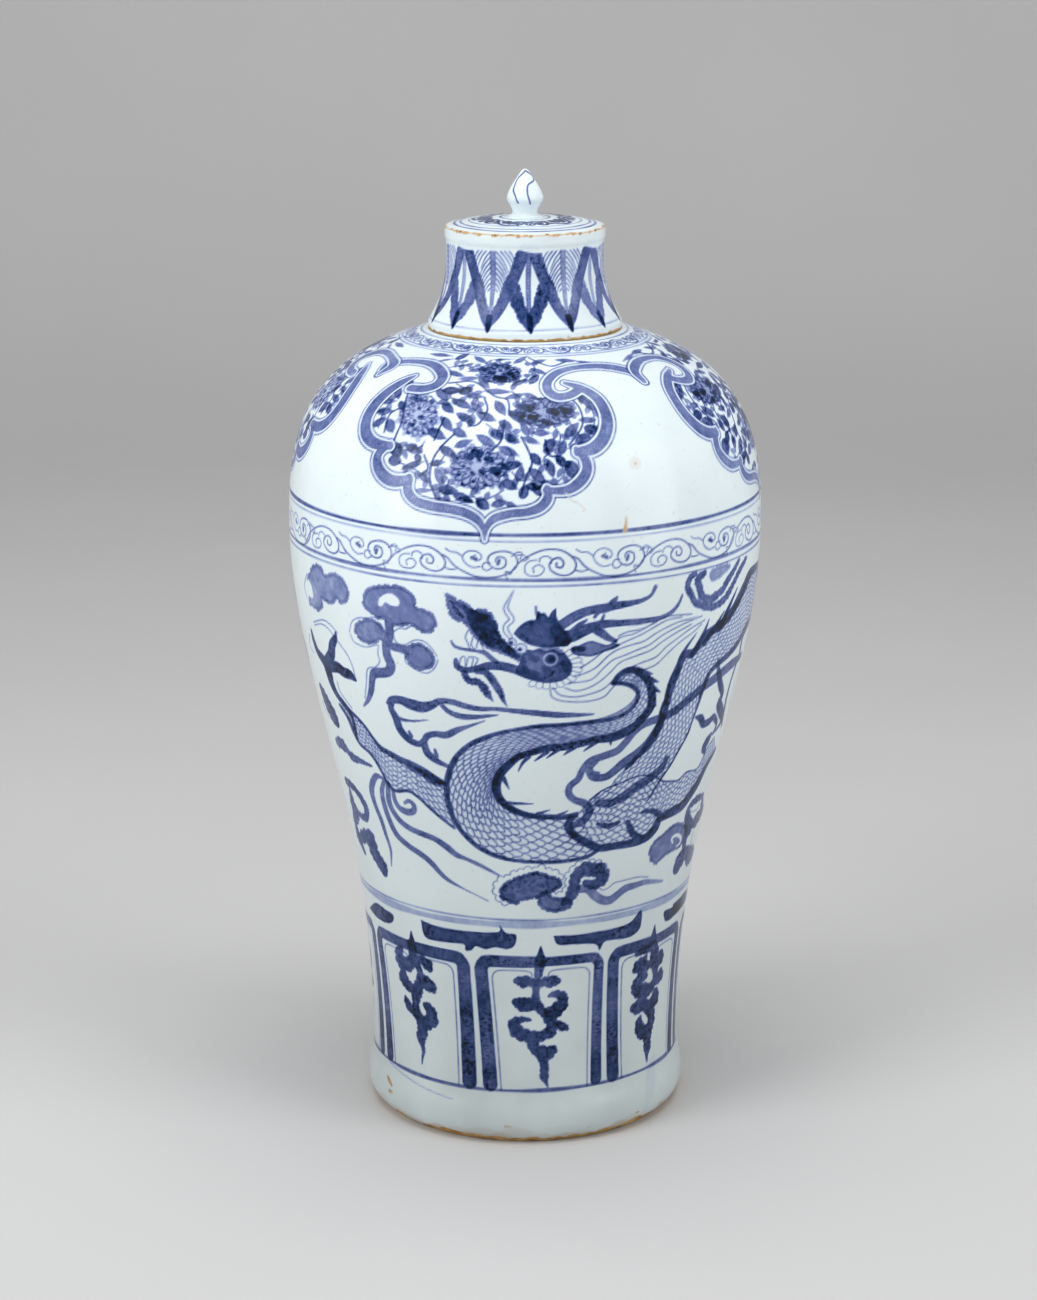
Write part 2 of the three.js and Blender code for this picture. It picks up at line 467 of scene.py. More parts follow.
def underside():
    """The base from its middle out to the ring that the vase stands on."""
    ring = FOOT_RADIUS - FOOT_TAPER - FOOT_RING_WIDTH
    return [(0, FOOT_RECESS), (ring - RECESS_SLOPE, FOOT_RECESS), (ring, 0)]


def floor_inside():
    inside = WAIST_RADIUS - WALL_BELOW
    corner = bezier((inside, WAIST_HEIGHT), (inside, FLOOR_HEIGHT), (inside * 0.7, FLOOR_HEIGHT), count=12)
    return np.vstack([corner, [(0, FLOOR_HEIGHT)]])


def mouth_edge():
    return [(MOUTH_RADIUS, SEAT_HEIGHT), (MOUTH_RADIUS, SEAT_HEIGHT - WALL_ABOVE)]


# Painting: brushes
def draw(wall, *lines, strength=0.8, rim=0.2):
    """Brush lines along photograph points with widths, as one layer of cobalt."""
    for line in lines:
        wall.lay(wall.path(line), rim)
    wall.fire(strength)


def places(path, gap):
    """Numbers of the points along a path that lie a gap apart. The gap may change along it."""
    size = np.hypot(np.diff(path[:, 0]) * TYPICAL_RADIUS, np.diff(path[:, 1]))
    return np.flatnonzero(np.diff(np.floor(np.cumsum(size / gap)), prepend=0) > 0)


def dots(wall, path, size):
    """Dabs of the brush at points of angle and place along."""
    for number, ((angle, along, *_), across) in enumerate(zip(path, size)):
        across *= 1 + 0.22 * math.sin(number * 2.3 + along)
        wall.lay([(angle, along, across), (angle + 0.0005, along, across)], 0.3)


def knobs(wall, path, sides=(-1, 1), reach=0.36, size=0.56):
    """Dabs along the edges of a brush line, which make it knobbly."""
    for side in sides:
        edge = beside(path, wall, side * reach * path[:, 2])
        chosen = edge[places(edge, np.maximum(edge[1:, 2] * size * 0.85, 1.3))]
        dots(wall, chosen, chosen[:, 2] * size)


def knobbed(wall, *lines, strength=0.84, rim=0.3):
    """Brush lines along photograph points with knobs on both edges."""
    for line in lines:
        path = wall.path(line)
        wall.lay(path, rim)
        knobs(wall, path)
    wall.fire(strength)


def scalloped(wall, *lines, step=4.2, rise=1.5, width=0.5, strength=0.55):
    """Fine lines of small arches that bulge to the left of their way."""
    for line in lines:
        path = wall.path(line, 0.5)
        size = np.hypot(np.diff(path[:, 0]) * TYPICAL_RADIUS, np.diff(path[:, 1]))
        length = np.concatenate(([0], np.cumsum(size)))
        count = max(1, round(length[-1] / step))
        path = beside(path, wall, rise * np.abs(np.sin(length / length[-1] * count * math.pi)) ** 0.6)
        wall.lay(even(path, width))
    wall.fire(strength)


def thin(wall, *lines, width=0.6, strength=0.55):
    """Fine lines along photograph points."""
    for line in lines:
        wall.lay(even(wall.path(line), width))
    wall.fire(strength)


def wash(wall, *outlines, strength=0.6, rim=0.25, pool=1.2, lobes=0.0):
    """Areas inside closed lines of photograph points, with a border of lobes if these have a size."""
    for outline in outlines:
        edge = wall.path(outline + outline[:1])[:-1]
        wall.lay_area(edge, rim, pool)
        if lobes:
            chosen = edge[places(edge, lobes * 0.78)]
            dots(wall, chosen, np.full(len(chosen), lobes))
    wall.fire(strength)


def evenly(line, count):
    """Points at even distances along a line, and its length."""
    size = np.hypot(np.diff(line[:, 0]) * TYPICAL_RADIUS, np.diff(line[:, 1]))
    length = np.concatenate(([0], np.cumsum(size)))
    share = np.linspace(0, length[-1], count)
    return np.column_stack([np.interp(share, length, column) for column in line[:, :2].T]), length[-1]


# One scale, across and down it as shares
SCALE_ARC = ((0.0, 0.0), (0.06, 0.5), (0.26, 0.92), (0.5, 1.05), (0.74, 0.92), (0.94, 0.5), (1.0, 0.0))


def scales(wall, left, right, first, last, strength=0.54, ground=0.08):
    """Rows of scales between two edges of photograph points. Their size goes from first to last."""
    left, right = wall.path(left), wall.path(right)
    length = (evenly(left, 2)[1] + evenly(right, 2)[1]) / 2
    count = max(3, round(2 * length / (first + last)))
    rows = np.cumsum([0] + [first + (last - first) * (row + 0.5) / count for row in range(count)])
    left, right = (evenly(line, 400)[0][(rows / rows[-1] * 399).astype(int)] for line in (left, right))
    wall.lay_area(np.vstack([left, right[::-1]]))
    wall.fire(ground)
    for row in range(count):
        size = rows[row + 1] - rows[row]
        across = right[row] - left[row]
        number = max(2, round(math.hypot(across[0] * TYPICAL_RADIUS, across[1]) / size))
        odd = row % 2
        for place in range(number + odd):
            start, stop = (min(max((place + side - odd / 2) / number, 0), 1) for side in (0, 1))
            arc = []
            for u, v in SCALE_ARC:
                share = start + u * (stop - start)
                near = left[row] + share * across
                far = left[row + 1] + share * (right[row + 1] - left[row + 1])
                arc.append((*(near + v * (far - near)), 0.3 + size * 0.1))
            wall.lay(arc)
    wall.fire(strength)


# Painting: rings, by height, width and strength
BODY_RINGS = (
    (28.1, 1.7, 0.62),
    (115.9, 3.4, 0.30),
    (118.6, 0.9, 0.45),
    (290.5, 0.9, 0.5),
    (293.6, 1.5, 0.55),
    (311.6, 0.8, 0.35),
    (314.3, 1.6, 0.7),
)


def paint_rings(wall):
    for number, (height, width, strength) in enumerate(BODY_RINGS):
        wall.ring(wall.at_height(height), width, strength, seed=number)


# Painting: the running scroll, one repeat of it as photograph points
SCROLL_START = (516, 562)
SCROLL_END = (640, 560)
SCROLL_REPEATS = 12
SCROLL_LOW = 293.6
SCROLL_HIGH = 311.6
SCROLL_TURN = -1.3
SCROLL_STEM = (
    ((506, 575), (516, 562), (530, 553), (543, 549), (556, 550), (566, 556), (571, 564), (569, 572),
     (562, 576), (553, 575), (546, 570), (545, 564), (549, 559), (555, 558), (559, 563), (557, 568),
     (552, 567), (552, 563)),
    ((566, 556), (573, 559), (580, 567), (590, 573), (602, 577), (616, 576), (628, 571), (636, 563),
     (638, 555), (635, 548), (628, 545), (619, 547), (613, 552), (612, 559), (617, 565), (624, 565),
     (628, 560), (627, 553), (621, 552), (619, 557), (622, 560)),
)
SCROLL_CURLS = (
    ((547, 563), (546, 558), (541, 556), (536, 558), (535, 562)),
    ((533, 560), (526, 561), (521, 566), (522, 574), (529, 577), (537, 575), (540, 569), (535, 565),
     (529, 568), (530, 573)),
    ((616, 565), (611, 569), (607, 566), (609, 560), (614, 560)),
    ((605, 565), (598, 567), (591, 563), (588, 556), (592, 550), (599, 548), (605, 551), (606, 556),
     (601, 559), (597, 556), (600, 553)),
    ((571, 549), (576, 552), (582, 552), (588, 556)),
    ((571, 571), (577, 572), (584, 570)),
    ((636, 549), (641, 547), (647, 550), (643, 554)),
    ((508, 574), (502, 572), (504, 580)),
    ((508, 556), (513, 552), (518, 553), (516, 559)),
)
SCROLL_DARK = (((597, 556), (601, 557)), ((622, 556), (621, 560)))


def scroll_unit(wall):
    """The repeat's lines as shares of its length and of the band's height, with a weight each."""
    start, end = wall.seen([SCROLL_START, SCROLL_END])[:, 0]
    low, high = wall.at_height(SCROLL_LOW), wall.at_height(SCROLL_HIGH)
    unit = []
    for lines, weight in ((SCROLL_STEM, 1.0), (SCROLL_CURLS, 0.75), (SCROLL_DARK, 2.2)):
        for line in lines:
            path = wall.path(line)
            share = np.column_stack([(path[:, 0] - start) / (end - start), (path[:, 1] - low) / (high - low)])
            unit.append((share, weight))
    return unit


def running_scroll(wall, unit, low, high, repeats, width, strength):
    """The scroll's repeats all the way round, between two places along."""
    turn = 2 * math.pi / repeats
    start = math.radians(SCROLL_TURN)
    random = np.random.default_rng(7)
    for number in range(repeats):
        lean, swell = random.uniform(-0.02, 0.02), random.uniform(0.94, 1.04)
        for share, weight in unit:
            middle = 0.5 + (share[:, 1] - 0.5) * swell
            angle = start + (number + lean + share[:, 0]) * turn
            wall.lay(even(np.column_stack([angle, low + (high - low) * middle]), width * weight))
    wall.fire(strength)


# Painting: the collar of four lappets. A band is given by its middle, one half of the lappet at a time
COLLAR_TIP = (481, 540)
COLLAR_RIGHT = (
    ((640, 381, 5), (628, 372, 8), (610, 367.5, 9), (590, 366, 8), (568, 368, 7), (552, 373, 8),
     (543, 382, 9), (544, 391, 10), (553, 396.5, 10), (565, 395, 9), (574, 390, 9)),
    ((560, 383, 4), (576, 388, 9), (591, 397, 10.5), (600, 410, 11), (603, 425, 12), (598, 440, 12.5),
     (588, 449, 12), (574, 452, 9)),
    ((572, 449, 5), (581, 459, 9), (583, 470, 10), (577, 481, 10.5), (566, 489, 9), (553, 491, 7),
     (542, 490, 6)),
    ((543, 488, 6), (544, 498, 9), (537, 507, 9), (524, 512, 8), (506, 514, 8), (490, 519, 8), (483, 528, 5),
     (481, 540, 2)),
)
COLLAR_LEFT = (
    ((374, 374, 3), (384, 364, 8), (400, 361.5, 6), (418, 362, 7), (431, 366, 9), (438, 375, 10),
     (433, 384, 10), (420, 388.5, 9), (406, 388, 8)),
    ((410, 376, 3), (398, 382, 8), (384, 391, 10), (370, 405, 11), (362, 420, 11), (362, 434, 11),
     (370, 443, 10), (386, 446, 7)),
    ((386, 444, 5), (375, 453, 8), (373, 463, 10), (378, 474, 11), (389, 481, 11), (405, 480, 9)),
    ((405, 478, 8), (404, 491, 10), (412, 501, 9), (427, 506, 9), (446, 509, 9), (462, 513, 9),
     (474, 520, 8), (480, 530, 5), (481, 540, 2)),
)
COLLAR_GAP = 0.9
COLLAR_LINE = 0.65
# Each lappet's two halves: quarter turns from the front, which half is drawn, its hand, how much wider
# it is, and the cusp in degrees round where its arm meets the neighbour's
LAPPETS = (
    ((0, COLLAR_RIGHT, 1, 1.0, 41.4), (0, COLLAR_LEFT, 1, 1.0, -56.1)),
    ((1, COLLAR_RIGHT, -1, 1.03, 41.4), (1, COLLAR_RIGHT, 1, 1.0, 128)),
    ((2, COLLAR_RIGHT, -1, 1.0, 128), (2, COLLAR_RIGHT, 1, 1.0, 214)),
    ((3, COLLAR_RIGHT, -1, 1.03, 214), (3, COLLAR_LEFT, -1, 1.0, 303.9)),
)
# Leaves of the collar: where each starts and ends, and its breadth
LEAVES = (
    (428, 354, 446, 356, 5), (452, 359, 463, 354, 7), (434, 361, 448, 359, 3), (471, 357, 481, 363, 6),
    (488, 360, 508, 359, 3), (510, 363, 521, 357, 6), (528, 363, 540, 360, 6), (552, 360, 571, 361, 6),
    (570, 361, 592, 364, 4), (447, 367, 467, 364, 3), (466, 371, 484, 368, 6), (443, 371, 460, 377, 6),
    (456, 379, 474, 378, 6), (475, 378, 484, 388, 7), (528, 369, 541, 374, 6), (509, 385, 521, 380, 6),
    (526, 383, 533, 375, 8), (433, 389, 442, 400, 8), (462, 395, 479, 397, 6), (482, 391, 505, 392, 7),
    (502, 398, 520, 394, 6), (520, 394, 532, 398, 6), (393, 388, 394, 398, 7), (379, 402, 391, 401, 5),
    (406, 398, 420, 401, 4), (396, 402, 399, 410, 6), (373, 412, 388, 411, 6), (369, 425, 381, 419, 7),
    (384, 421, 388, 431, 9), (439, 404, 448, 412, 8), (450, 400, 466, 408, 8), (468, 404, 478, 413, 7),
    (454, 414, 469, 422, 8), (474, 414, 490, 420, 9), (492, 402, 500, 414, 9), (506, 412, 520, 422, 9),
    (438, 418, 447, 430, 8), (425, 430, 440, 438, 9), (450, 430, 461, 436, 8), (496, 422, 507, 428, 8),
    (518, 424, 524, 436, 7), (474, 436, 491, 446, 8), (489, 432, 498, 438, 9), (502, 436, 514, 442, 9),
    (520, 438, 534, 443, 6), (530, 433, 545, 433, 6), (562, 436, 573, 424, 9), (542, 450, 549, 440, 10),
    (557, 453, 560, 441, 8), (573, 441, 586, 437, 10), (576, 420, 590, 420, 6), (581, 402, 594, 410, 9),
    (575, 395, 582, 404, 8), (565, 448, 577, 443, 4), (452, 446, 466, 441, 7), (437, 448, 451, 456, 8),
    (403, 446, 416, 452, 8), (390, 445, 395, 456, 11), (386, 460, 396, 461, 9), (400, 468, 418, 462, 6),
    (412, 456, 420, 442, 3), (496, 448, 513, 455, 8), (500, 467, 516, 464, 8), (514, 480, 518, 468, 8),
    (527, 470, 541, 483, 9), (545, 462, 549, 476, 8), (566, 464, 570, 476, 13), (428, 464, 440, 462, 5),
    (432, 470, 439, 486, 7), (415, 474, 426, 482, 6), (410, 491, 428, 490, 4), (436, 489, 452, 491, 9),
    (450, 494, 468, 502, 8), (433, 500, 443, 500, 5), (474, 500, 484, 508, 10), (489, 505, 502, 502, 7),
    (503, 503, 513, 509, 6), (500, 482, 512, 488, 9), (518, 497, 522, 487, 9), (530, 489, 544, 493, 9),
)
DARK_LEAVES = (
    (440, 390, 455, 391, 9), (456, 392, 467, 389, 9), (582, 428, 594, 432, 10), (528, 455, 536, 464, 8),
    (504, 438, 511, 440, 6), (553, 457, 562, 466, 8), (523, 486, 537, 488, 7), (493, 433, 497, 437, 5),
    (402, 381, 408, 383, 6), (464, 422, 468, 424, 5), (412, 456, 416, 460, 6), (561, 464, 566, 464, 6),
)
STEMS = (
    ((450, 434), (436, 448), (428, 462), (426, 480), (432, 498)),
    ((517, 437), (524, 450), (528, 463), (522, 478), (517, 496)),
    ((480, 398), (483, 410), (474, 424), (464, 426)), ((404, 392), (400, 405), (398, 420), (390, 440)),
    ((444, 383), (470, 382), (490, 396), (503, 400), (505, 415)), ((541, 440), (545, 455), (556, 456)),
    ((524, 358), (545, 366), (560, 362)), ((566, 398), (575, 408), (578, 425), (565, 445)),
    ((440, 418), (430, 440)), ((380, 432), (385, 415), (395, 408)), ((420, 455), (424, 468), (416, 476)),
    ((500, 420), (497, 440), (488, 450)),
)
SPRIGS = (
    ((452, 358), (462, 366), (480, 366), (492, 362), (505, 366)),
    ((520, 360), (530, 368), (522, 378), (508, 384)),
    ((452, 384), (468, 392), (474, 404), (466, 416), (452, 424)),
    ((508, 392), (518, 400), (516, 412), (524, 424), (534, 430)),
    ((482, 424), (492, 430), (504, 430), (514, 436)),
    ((548, 424), (556, 436), (552, 448), (540, 458), (542, 470)),
    ((566, 424), (574, 434), (582, 446)),
    ((572, 392), (584, 404), (590, 418), (588, 432)),
    ((396, 394), (386, 402), (378, 414), (374, 428)),
    ((384, 440), (396, 448), (408, 450), (418, 446)),
    ((394, 462), (408, 468), (420, 476), (428, 488), (442, 494)),
    ((440, 456), (434, 468), (444, 480), (440, 496)),
    ((452, 500), (466, 496), (478, 500), (490, 496), (500, 490)),
    ((508, 472), (516, 480), (528, 480), (538, 486)),
    ((504, 448), (510, 460), (500, 474)),
    ((556, 462), (560, 474), (552, 484)),
    ((426, 396), (436, 404), (446, 398), (458, 402)),
)
SPRIG_LEAF = (9.5, 5.6)
# A leaf's breadth along its length, as shares. A drawn leaf starts and ends a little past its two points
LEAF_SHAPE = ((0.0, 0.06), (0.2, 0.62), (0.4, 1.0), (0.62, 0.86), (0.82, 0.42), (1.0, 0.05))
LEAF_START = 0.15
LEAF_LENGTH = 1.3
LEAF_BREADTH = 1.05
SPRIG_GAP = 3.4
# Flowers: middle, breadth, height and strength
FLOWERS = (
    (495, 374, 40, 18, 0.85),
    (414, 416, 38, 42, 0.55),
    (540, 412, 60, 28, 0.85),
    (474, 468, 56, 42, 0.66),
)
FLOWER_HEARTS = (
    (495, 378, 10), (487, 372, 5), (505, 373, 5), (523, 407, 9), (528, 417, 7), (548, 411, 9), (561, 410, 8),
    (541, 421, 6), (464, 456, 7), (472, 453, 9), (484, 459, 6), (491, 470, 8), (478, 471, 5), (407, 424, 4),
    (416, 417, 4),
)
# Rings of petals in a flower, as shares of its size with a count, and one petal: turn and reach
PETAL_RINGS = ((0.84, 17), (0.62, 12), (0.36, 7))
PETAL = ((-0.17, 0.8), (-0.13, 1.06), (0.0, 1.18), (0.13, 1.06), (0.17, 0.8))
FLOWER_BUDS = 16
BUD_TURN = 2.4


def placed(path, tip, turns, hand, factor):
    """A line moved from the front lappet to another one."""
    path = np.array(path)
    path[:, 0] = tip + turns * math.pi / 2 + hand * (path[:, 0] - tip) * factor
    return path


def sprig(wall, stem):
    """A stem with small leaves by turns on its two sides."""
    wall.lay(even(stem, 0.6))
    length, breadth = (size / PIXELS_PER_MM for size in SPRIG_LEAF)
    for number, place in enumerate(places(stem, SPRIG_GAP)):
        way = stem[min(place + 1, len(stem) - 1), :2] - stem[max(place - 1, 0), :2]
        heading = math.atan2(way[1], way[0] * TYPICAL_RADIUS) + (0.85 if number % 2 else -0.85)
        reach = length * (1 + 0.25 * math.sin(place * 1.7))
        out = np.array((math.cos(heading) / TYPICAL_RADIUS, math.sin(heading)))
        leaf = [(*(stem[place, :2] + out * reach * k), breadth * w) for k, w in LEAF_SHAPE]
        wall.lay(smooth(leaf), 0.45)


def in_half(x, half):
    """Whether a photograph column lies in the right or the left half of the front lappet."""
    return x >= COLLAR_TIP[0] if half is COLLAR_RIGHT else x <= COLLAR_TIP[0]


def blade(x0, y0, x1, y1, breadth):
    """A leaf of the collar as a brush stroke."""
    points = []
    for place, width in LEAF_SHAPE:
        share = place * LEAF_LENGTH - LEAF_START
        points.append((x0 + (x1 - x0) * share, y0 + (y1 - y0) * share, breadth * width * LEAF_BREADTH))
    return points


def lappet(wall, tip, halves):
    """One lappet: sprigs, leaves and stems in its two halves, flowers over them, and the band round all."""
    bands = []
    for turns, half, hand, factor, cusp in halves:
        move = (tip, turns, hand, factor)
        for stem in SPRIGS:
            if in_half(stem[0][0], half):
                sprig(wall, placed(wall.path(stem, 0.8), *move))
        wall.fire(0.66)
        for leaves, strength in ((LEAVES, 0.8), (DARK_LEAVES, 0.97)):
            for leaf in leaves:
                if in_half((leaf[0] + leaf[2]) / 2, half):
                    wall.lay(placed(wall.path(blade(*leaf)), *move), 0.45)
            wall.fire(strength)
        for stem in STEMS:
            if in_half(stem[0][0], half):
                wall.lay(even(placed(wall.path(stem), *move), 0.85))
        wall.fire(0.74)
        bands += [placed(wall.path(line), *move) for line in half]
        arm = bands[-len(half)]
        fade = np.linspace(1, 0, len(arm)) ** 1.5
        arm[:, 0] += fade * (math.radians(cusp) - arm[0, 0])
    turns, factor = halves[0][0], halves[0][3]
    for flower in FLOWERS:
        own = next((item for item in halves if in_half(flower[0], item[1])), halves[0])
        paint_flower(wall, flower, (tip, turns, own[2], factor))
    for away, strength in ((COLLAR_GAP + COLLAR_LINE, 0.6), (COLLAR_GAP, 0.0)):
        for band in bands:
            wall.lay(band + (0, 0, 2 * away))
        wall.fire(strength)
    for band in bands:
        wall.lay(band * (1, 1, 0.94), 0.4)
    wall.fire(0.65)


def paint_flower(wall, flower, move):
    """A shaggy flower: a wash with lobes round it, rings of petals, buds, and dark hearts in it."""
    x, y, breadth, height, strength = flower
    dark = min(1.0, strength * 1.15)
    turn = np.linspace(0, 2 * math.pi, 60, endpoint=False)
    lobes = 1 + 0.1 * np.sin(turn * 9) + 0.05 * np.sin(turn * 17 + 1)
    edge = []
    for t, k in zip(turn, lobes):
        edge.append((x + breadth / 2 * k * math.cos(t), y + height / 2 * k * math.sin(t)))
    outline = placed(wall.seen(edge), *move)
    wall.lay_area(outline, 0.35, 1.5)
    chosen = outline[places(outline, 2.4)]
    dots(wall, chosen, np.full(len(chosen), 2.2))
    wall.fire(strength * 0.7)
    for ring_share, petals in PETAL_RINGS:
        for number in range(petals):
            t = 2 * math.pi * (number + ring_share) / petals
            petal = []
            for swing, out in PETAL:
                across = ring_share * breadth / 2 * math.cos(t + swing) * out
                petal.append((x + across, y + ring_share * height / 2 * math.sin(t + swing) * out))
            wall.lay(even(placed(wall.path(petal), *move), 0.5))
    wall.fire(strength)
    for number in range(FLOWER_BUDS):
        reach = 0.5 * math.sqrt((number + 0.5) / FLOWER_BUDS)
        turn = number * BUD_TURN
        bud = (x + breadth * reach * math.cos(turn), y + height * reach * math.sin(turn))
        wall.lay(placed(wall.seen([(*bud, 2.6), (bud[0] + 1.6, bud[1] + 0.8, 1.4)]), *move))
    wall.fire(dark)
    for heart_x, heart_y, size in FLOWER_HEARTS:
        if abs(heart_x - x) < breadth / 2 and abs(heart_y - y) < height / 2:
            heart = [(heart_x - size * 0.3, heart_y, size * 0.8), (heart_x + size * 0.3, heart_y + 1, size)]
            wall.lay(placed(wall.seen(heart), *move))
    wall.fire(dark)


def paint_collar(wall):
    tip = wall.seen([COLLAR_TIP])[0, 0]
    for halves in LAPPETS:
        lappet(wall, tip, halves)


# Painting: the panels round the foot
# Edges between the panels: degrees round at their top and at their foot, and the width in millimetres
# of the frame before and after each
PANEL_EDGES = (
    (-67.0, -64.5, 6.0, 6.2), (-18.6, -16.6, 7.0, 6.7), (29.2, 30.2, 5.4, 6.6), (73.0, 74.0, 6.0, 6.4),
    (117.0, 117.0, 5.8, 6.8), (161.0, 160.5, 6.4, 6.0), (205.0, 206.0, 6.2, 6.6), (249.0, 250.0, 5.8, 6.4),
    (293.0, 295.5, 6.0, 6.2),
)
PANEL_FOOT = 33.6
PANEL_TOP = 99.0
PANEL_POINT = 107.0
PANEL_GAP = 1.2
PANEL_GAP_FOOT = 1.9
PANEL_LINE = 2.1
PANEL_LINE_FOOT = 31
PANEL_LINE_DROP = 4.6
BAR_LOW = 106.5
BAR_HIGH = 114.5
BAR_REACH = 13.0
BAR_CORNER = 1.6
PENDANT_BREADTH = 1.08
# Hanging ornaments of the three panels in front
PENDANT_FRONT = (
    ((545, 961, 11), (544, 967, 8), (543, 975, 8)),
    ((521, 981, 6), (528, 981.5, 10), (535, 982, 8), (543, 983, 7), (550, 982, 8), (557, 981.5, 10),
     (562, 981, 7)),
    ((541, 986, 6), (540.5, 996, 6), (541, 1003, 7), (546, 1010, 8), (552, 1015, 9), (556, 1022, 9),
     (558, 1027, 9), (554, 1033, 9), (546, 1036, 9), (537, 1037, 10), (526, 1034, 11), (519, 1028, 10),
     (520.5, 1022, 8), (527, 1019.5, 5), (535, 1020, 3)),
    ((521, 1002, 8), (528, 1004, 12), (534, 1005, 11), (539, 1004, 7)),
    ((554, 996, 3), (560, 994, 6), (567, 997, 9), (567, 1004, 10), (562, 1009, 13), (557, 1013, 11),
     (551, 1012, 8)),
    ((557, 1024, 6), (565, 1025.5, 7), (569, 1027, 7), (572, 1029, 4)),
    ((537, 1040, 10), (539, 1046, 10), (541, 1051, 9)),
    ((546, 1053, 12), (555, 1052, 11), (559, 1048, 6)),
    ((548, 1054, 10), (549, 1060, 9), (550, 1068, 7), (549.5, 1075, 7), (551, 1081, 4), (553.5, 1087, 1)),
)
PENDANT_LEFT = (
    ((405.5, 949, 5), (403.5, 954, 8), (405.5, 960, 10), (409.5, 964, 10), (415, 963, 9), (419, 959, 8)),
    ((415, 944, 8), (417, 951, 8), (418.5, 958, 9), (421, 964, 8), (424, 970, 5), (425, 977, 6),
     (424, 985, 8), (421.5, 993, 9), (420.5, 1001, 7), (421, 1009, 7), (423.5, 1016, 9), (427, 1023, 10),
     (428, 1030, 10), (427, 1036, 9), (427, 1041, 7), (428, 1046, 4), (429, 1051, 3), (428, 1058, 2),
     (427.5, 1064, 1)),
    ((422, 959, 6), (428, 961, 8), (432, 965, 9), (434, 968.5, 7)),
    ((408, 972, 7), (408.5, 978, 10), (413, 985, 8), (419, 990, 6)),
    ((425, 980, 7), (431, 983, 12), (436, 987, 9), (438.5, 991, 5)),
    ((410.5, 997, 3), (412.5, 1003, 6), (417, 1010, 6), (421, 1014, 6)),
    ((430, 1005, 5), (434, 1009, 9), (437, 1016, 11), (434, 1022, 11), (428, 1022, 9)),
)
PENDANT_RIGHT = (
    ((641, 954, 4), (650, 950, 5), (658, 946, 7)),
    ((659, 946, 8), (659, 953, 9), (658, 960, 9), (659.5, 967, 7), (660, 975, 6), (658.5, 982, 6),
     (655, 988, 7), (651, 993, 8), (648.5, 999, 6), (649, 1004, 7), (654, 1008, 8), (656.5, 1015, 7),
     (656, 1022, 7), (654, 1029, 8), (652.5, 1036, 8), (652.5, 1044, 7), (652.5, 1050, 6), (652, 1056, 3),
     (652.5, 1062, 1)),
    ((665, 954, 7), (664, 959, 9), (660, 963, 8)),
    ((650.5, 956, 3), (648.5, 960, 6), (644.5, 964, 8), (642.5, 967.5, 9), (647, 967.5, 8), (653, 965, 7)),
    ((665, 971, 5), (664, 976, 8), (661, 981, 6)),
    ((650, 976, 6), (646, 978, 9), (642.5, 983, 11), (641.5, 989, 11), (646, 991.5, 11), (651, 988, 8)),
    ((660, 992, 7), (659.5, 998, 10), (657.5, 1004, 8)),
    ((638.5, 1008, 8), (643, 1006.5, 10), (649, 1005, 8)),
    ((645.5, 1017, 3), (643.5, 1022, 6), (644.5, 1029, 9), (647, 1033, 9), (651, 1029, 8)),
)
PENDANTS = (PENDANT_LEFT, PENDANT_FRONT, PENDANT_RIGHT)
BARS = (
    ((425, 920), (440, 926), (460, 930), (480, 932), (503, 932), (504, 926), (510, 933), (520, 935),
     (519, 945), (512, 949), (500, 947), (490, 949), (480, 946), (476, 950), (470, 950), (468, 944),
     (450, 942), (430, 937)),
    ((558, 936), (580, 935), (600, 932), (620, 928), (635, 922), (645, 910), (645, 925), (640, 933),
     (630, 938), (610, 941), (604, 950), (600, 944), (580, 944), (565, 945), (560, 942)),
    ((373, 908), (380, 903), (390, 910), (397, 915), (397, 921), (392, 923), (382, 918)),
    ((669, 921), (668, 912), (675, 908), (685, 900), (692, 893), (690, 903), (680, 913), (673, 920)),
)


def panel_side(wall, middle, edge, inset, foot, top, corner, end, width):
    """One side of a panel, from its foot up to the middle of its top or to a hook short of the middle."""
    low, high = (np.interp(place, wall.along, wall.radius) for place in (foot, top))
    hand = 1 if edge[0] > middle else -1
    points = [(edge[1] - hand * (inset + PANEL_GAP_FOOT - PANEL_GAP) / low, foot)]
    for down in (2.5, 1.0):
        lean = (edge[1] - edge[0]) * down * 0.05
        points.append((edge[0] + lean - hand * inset / high, top - corner * down))
    points.append((edge[0] - hand * (inset + corner * 0.35) / high, top - corner * 0.3))
    points.append((edge[0] - hand * (inset + corner * 1.2) / high, top))
    points.append((middle + hand * end / high, top))
    if end:
        for share, down in ((0.55, 1.2), (0.5, 3.2)):
            points.append((middle + hand * end * share / high, top - down))
    return smooth([(*point, width) for point in points])


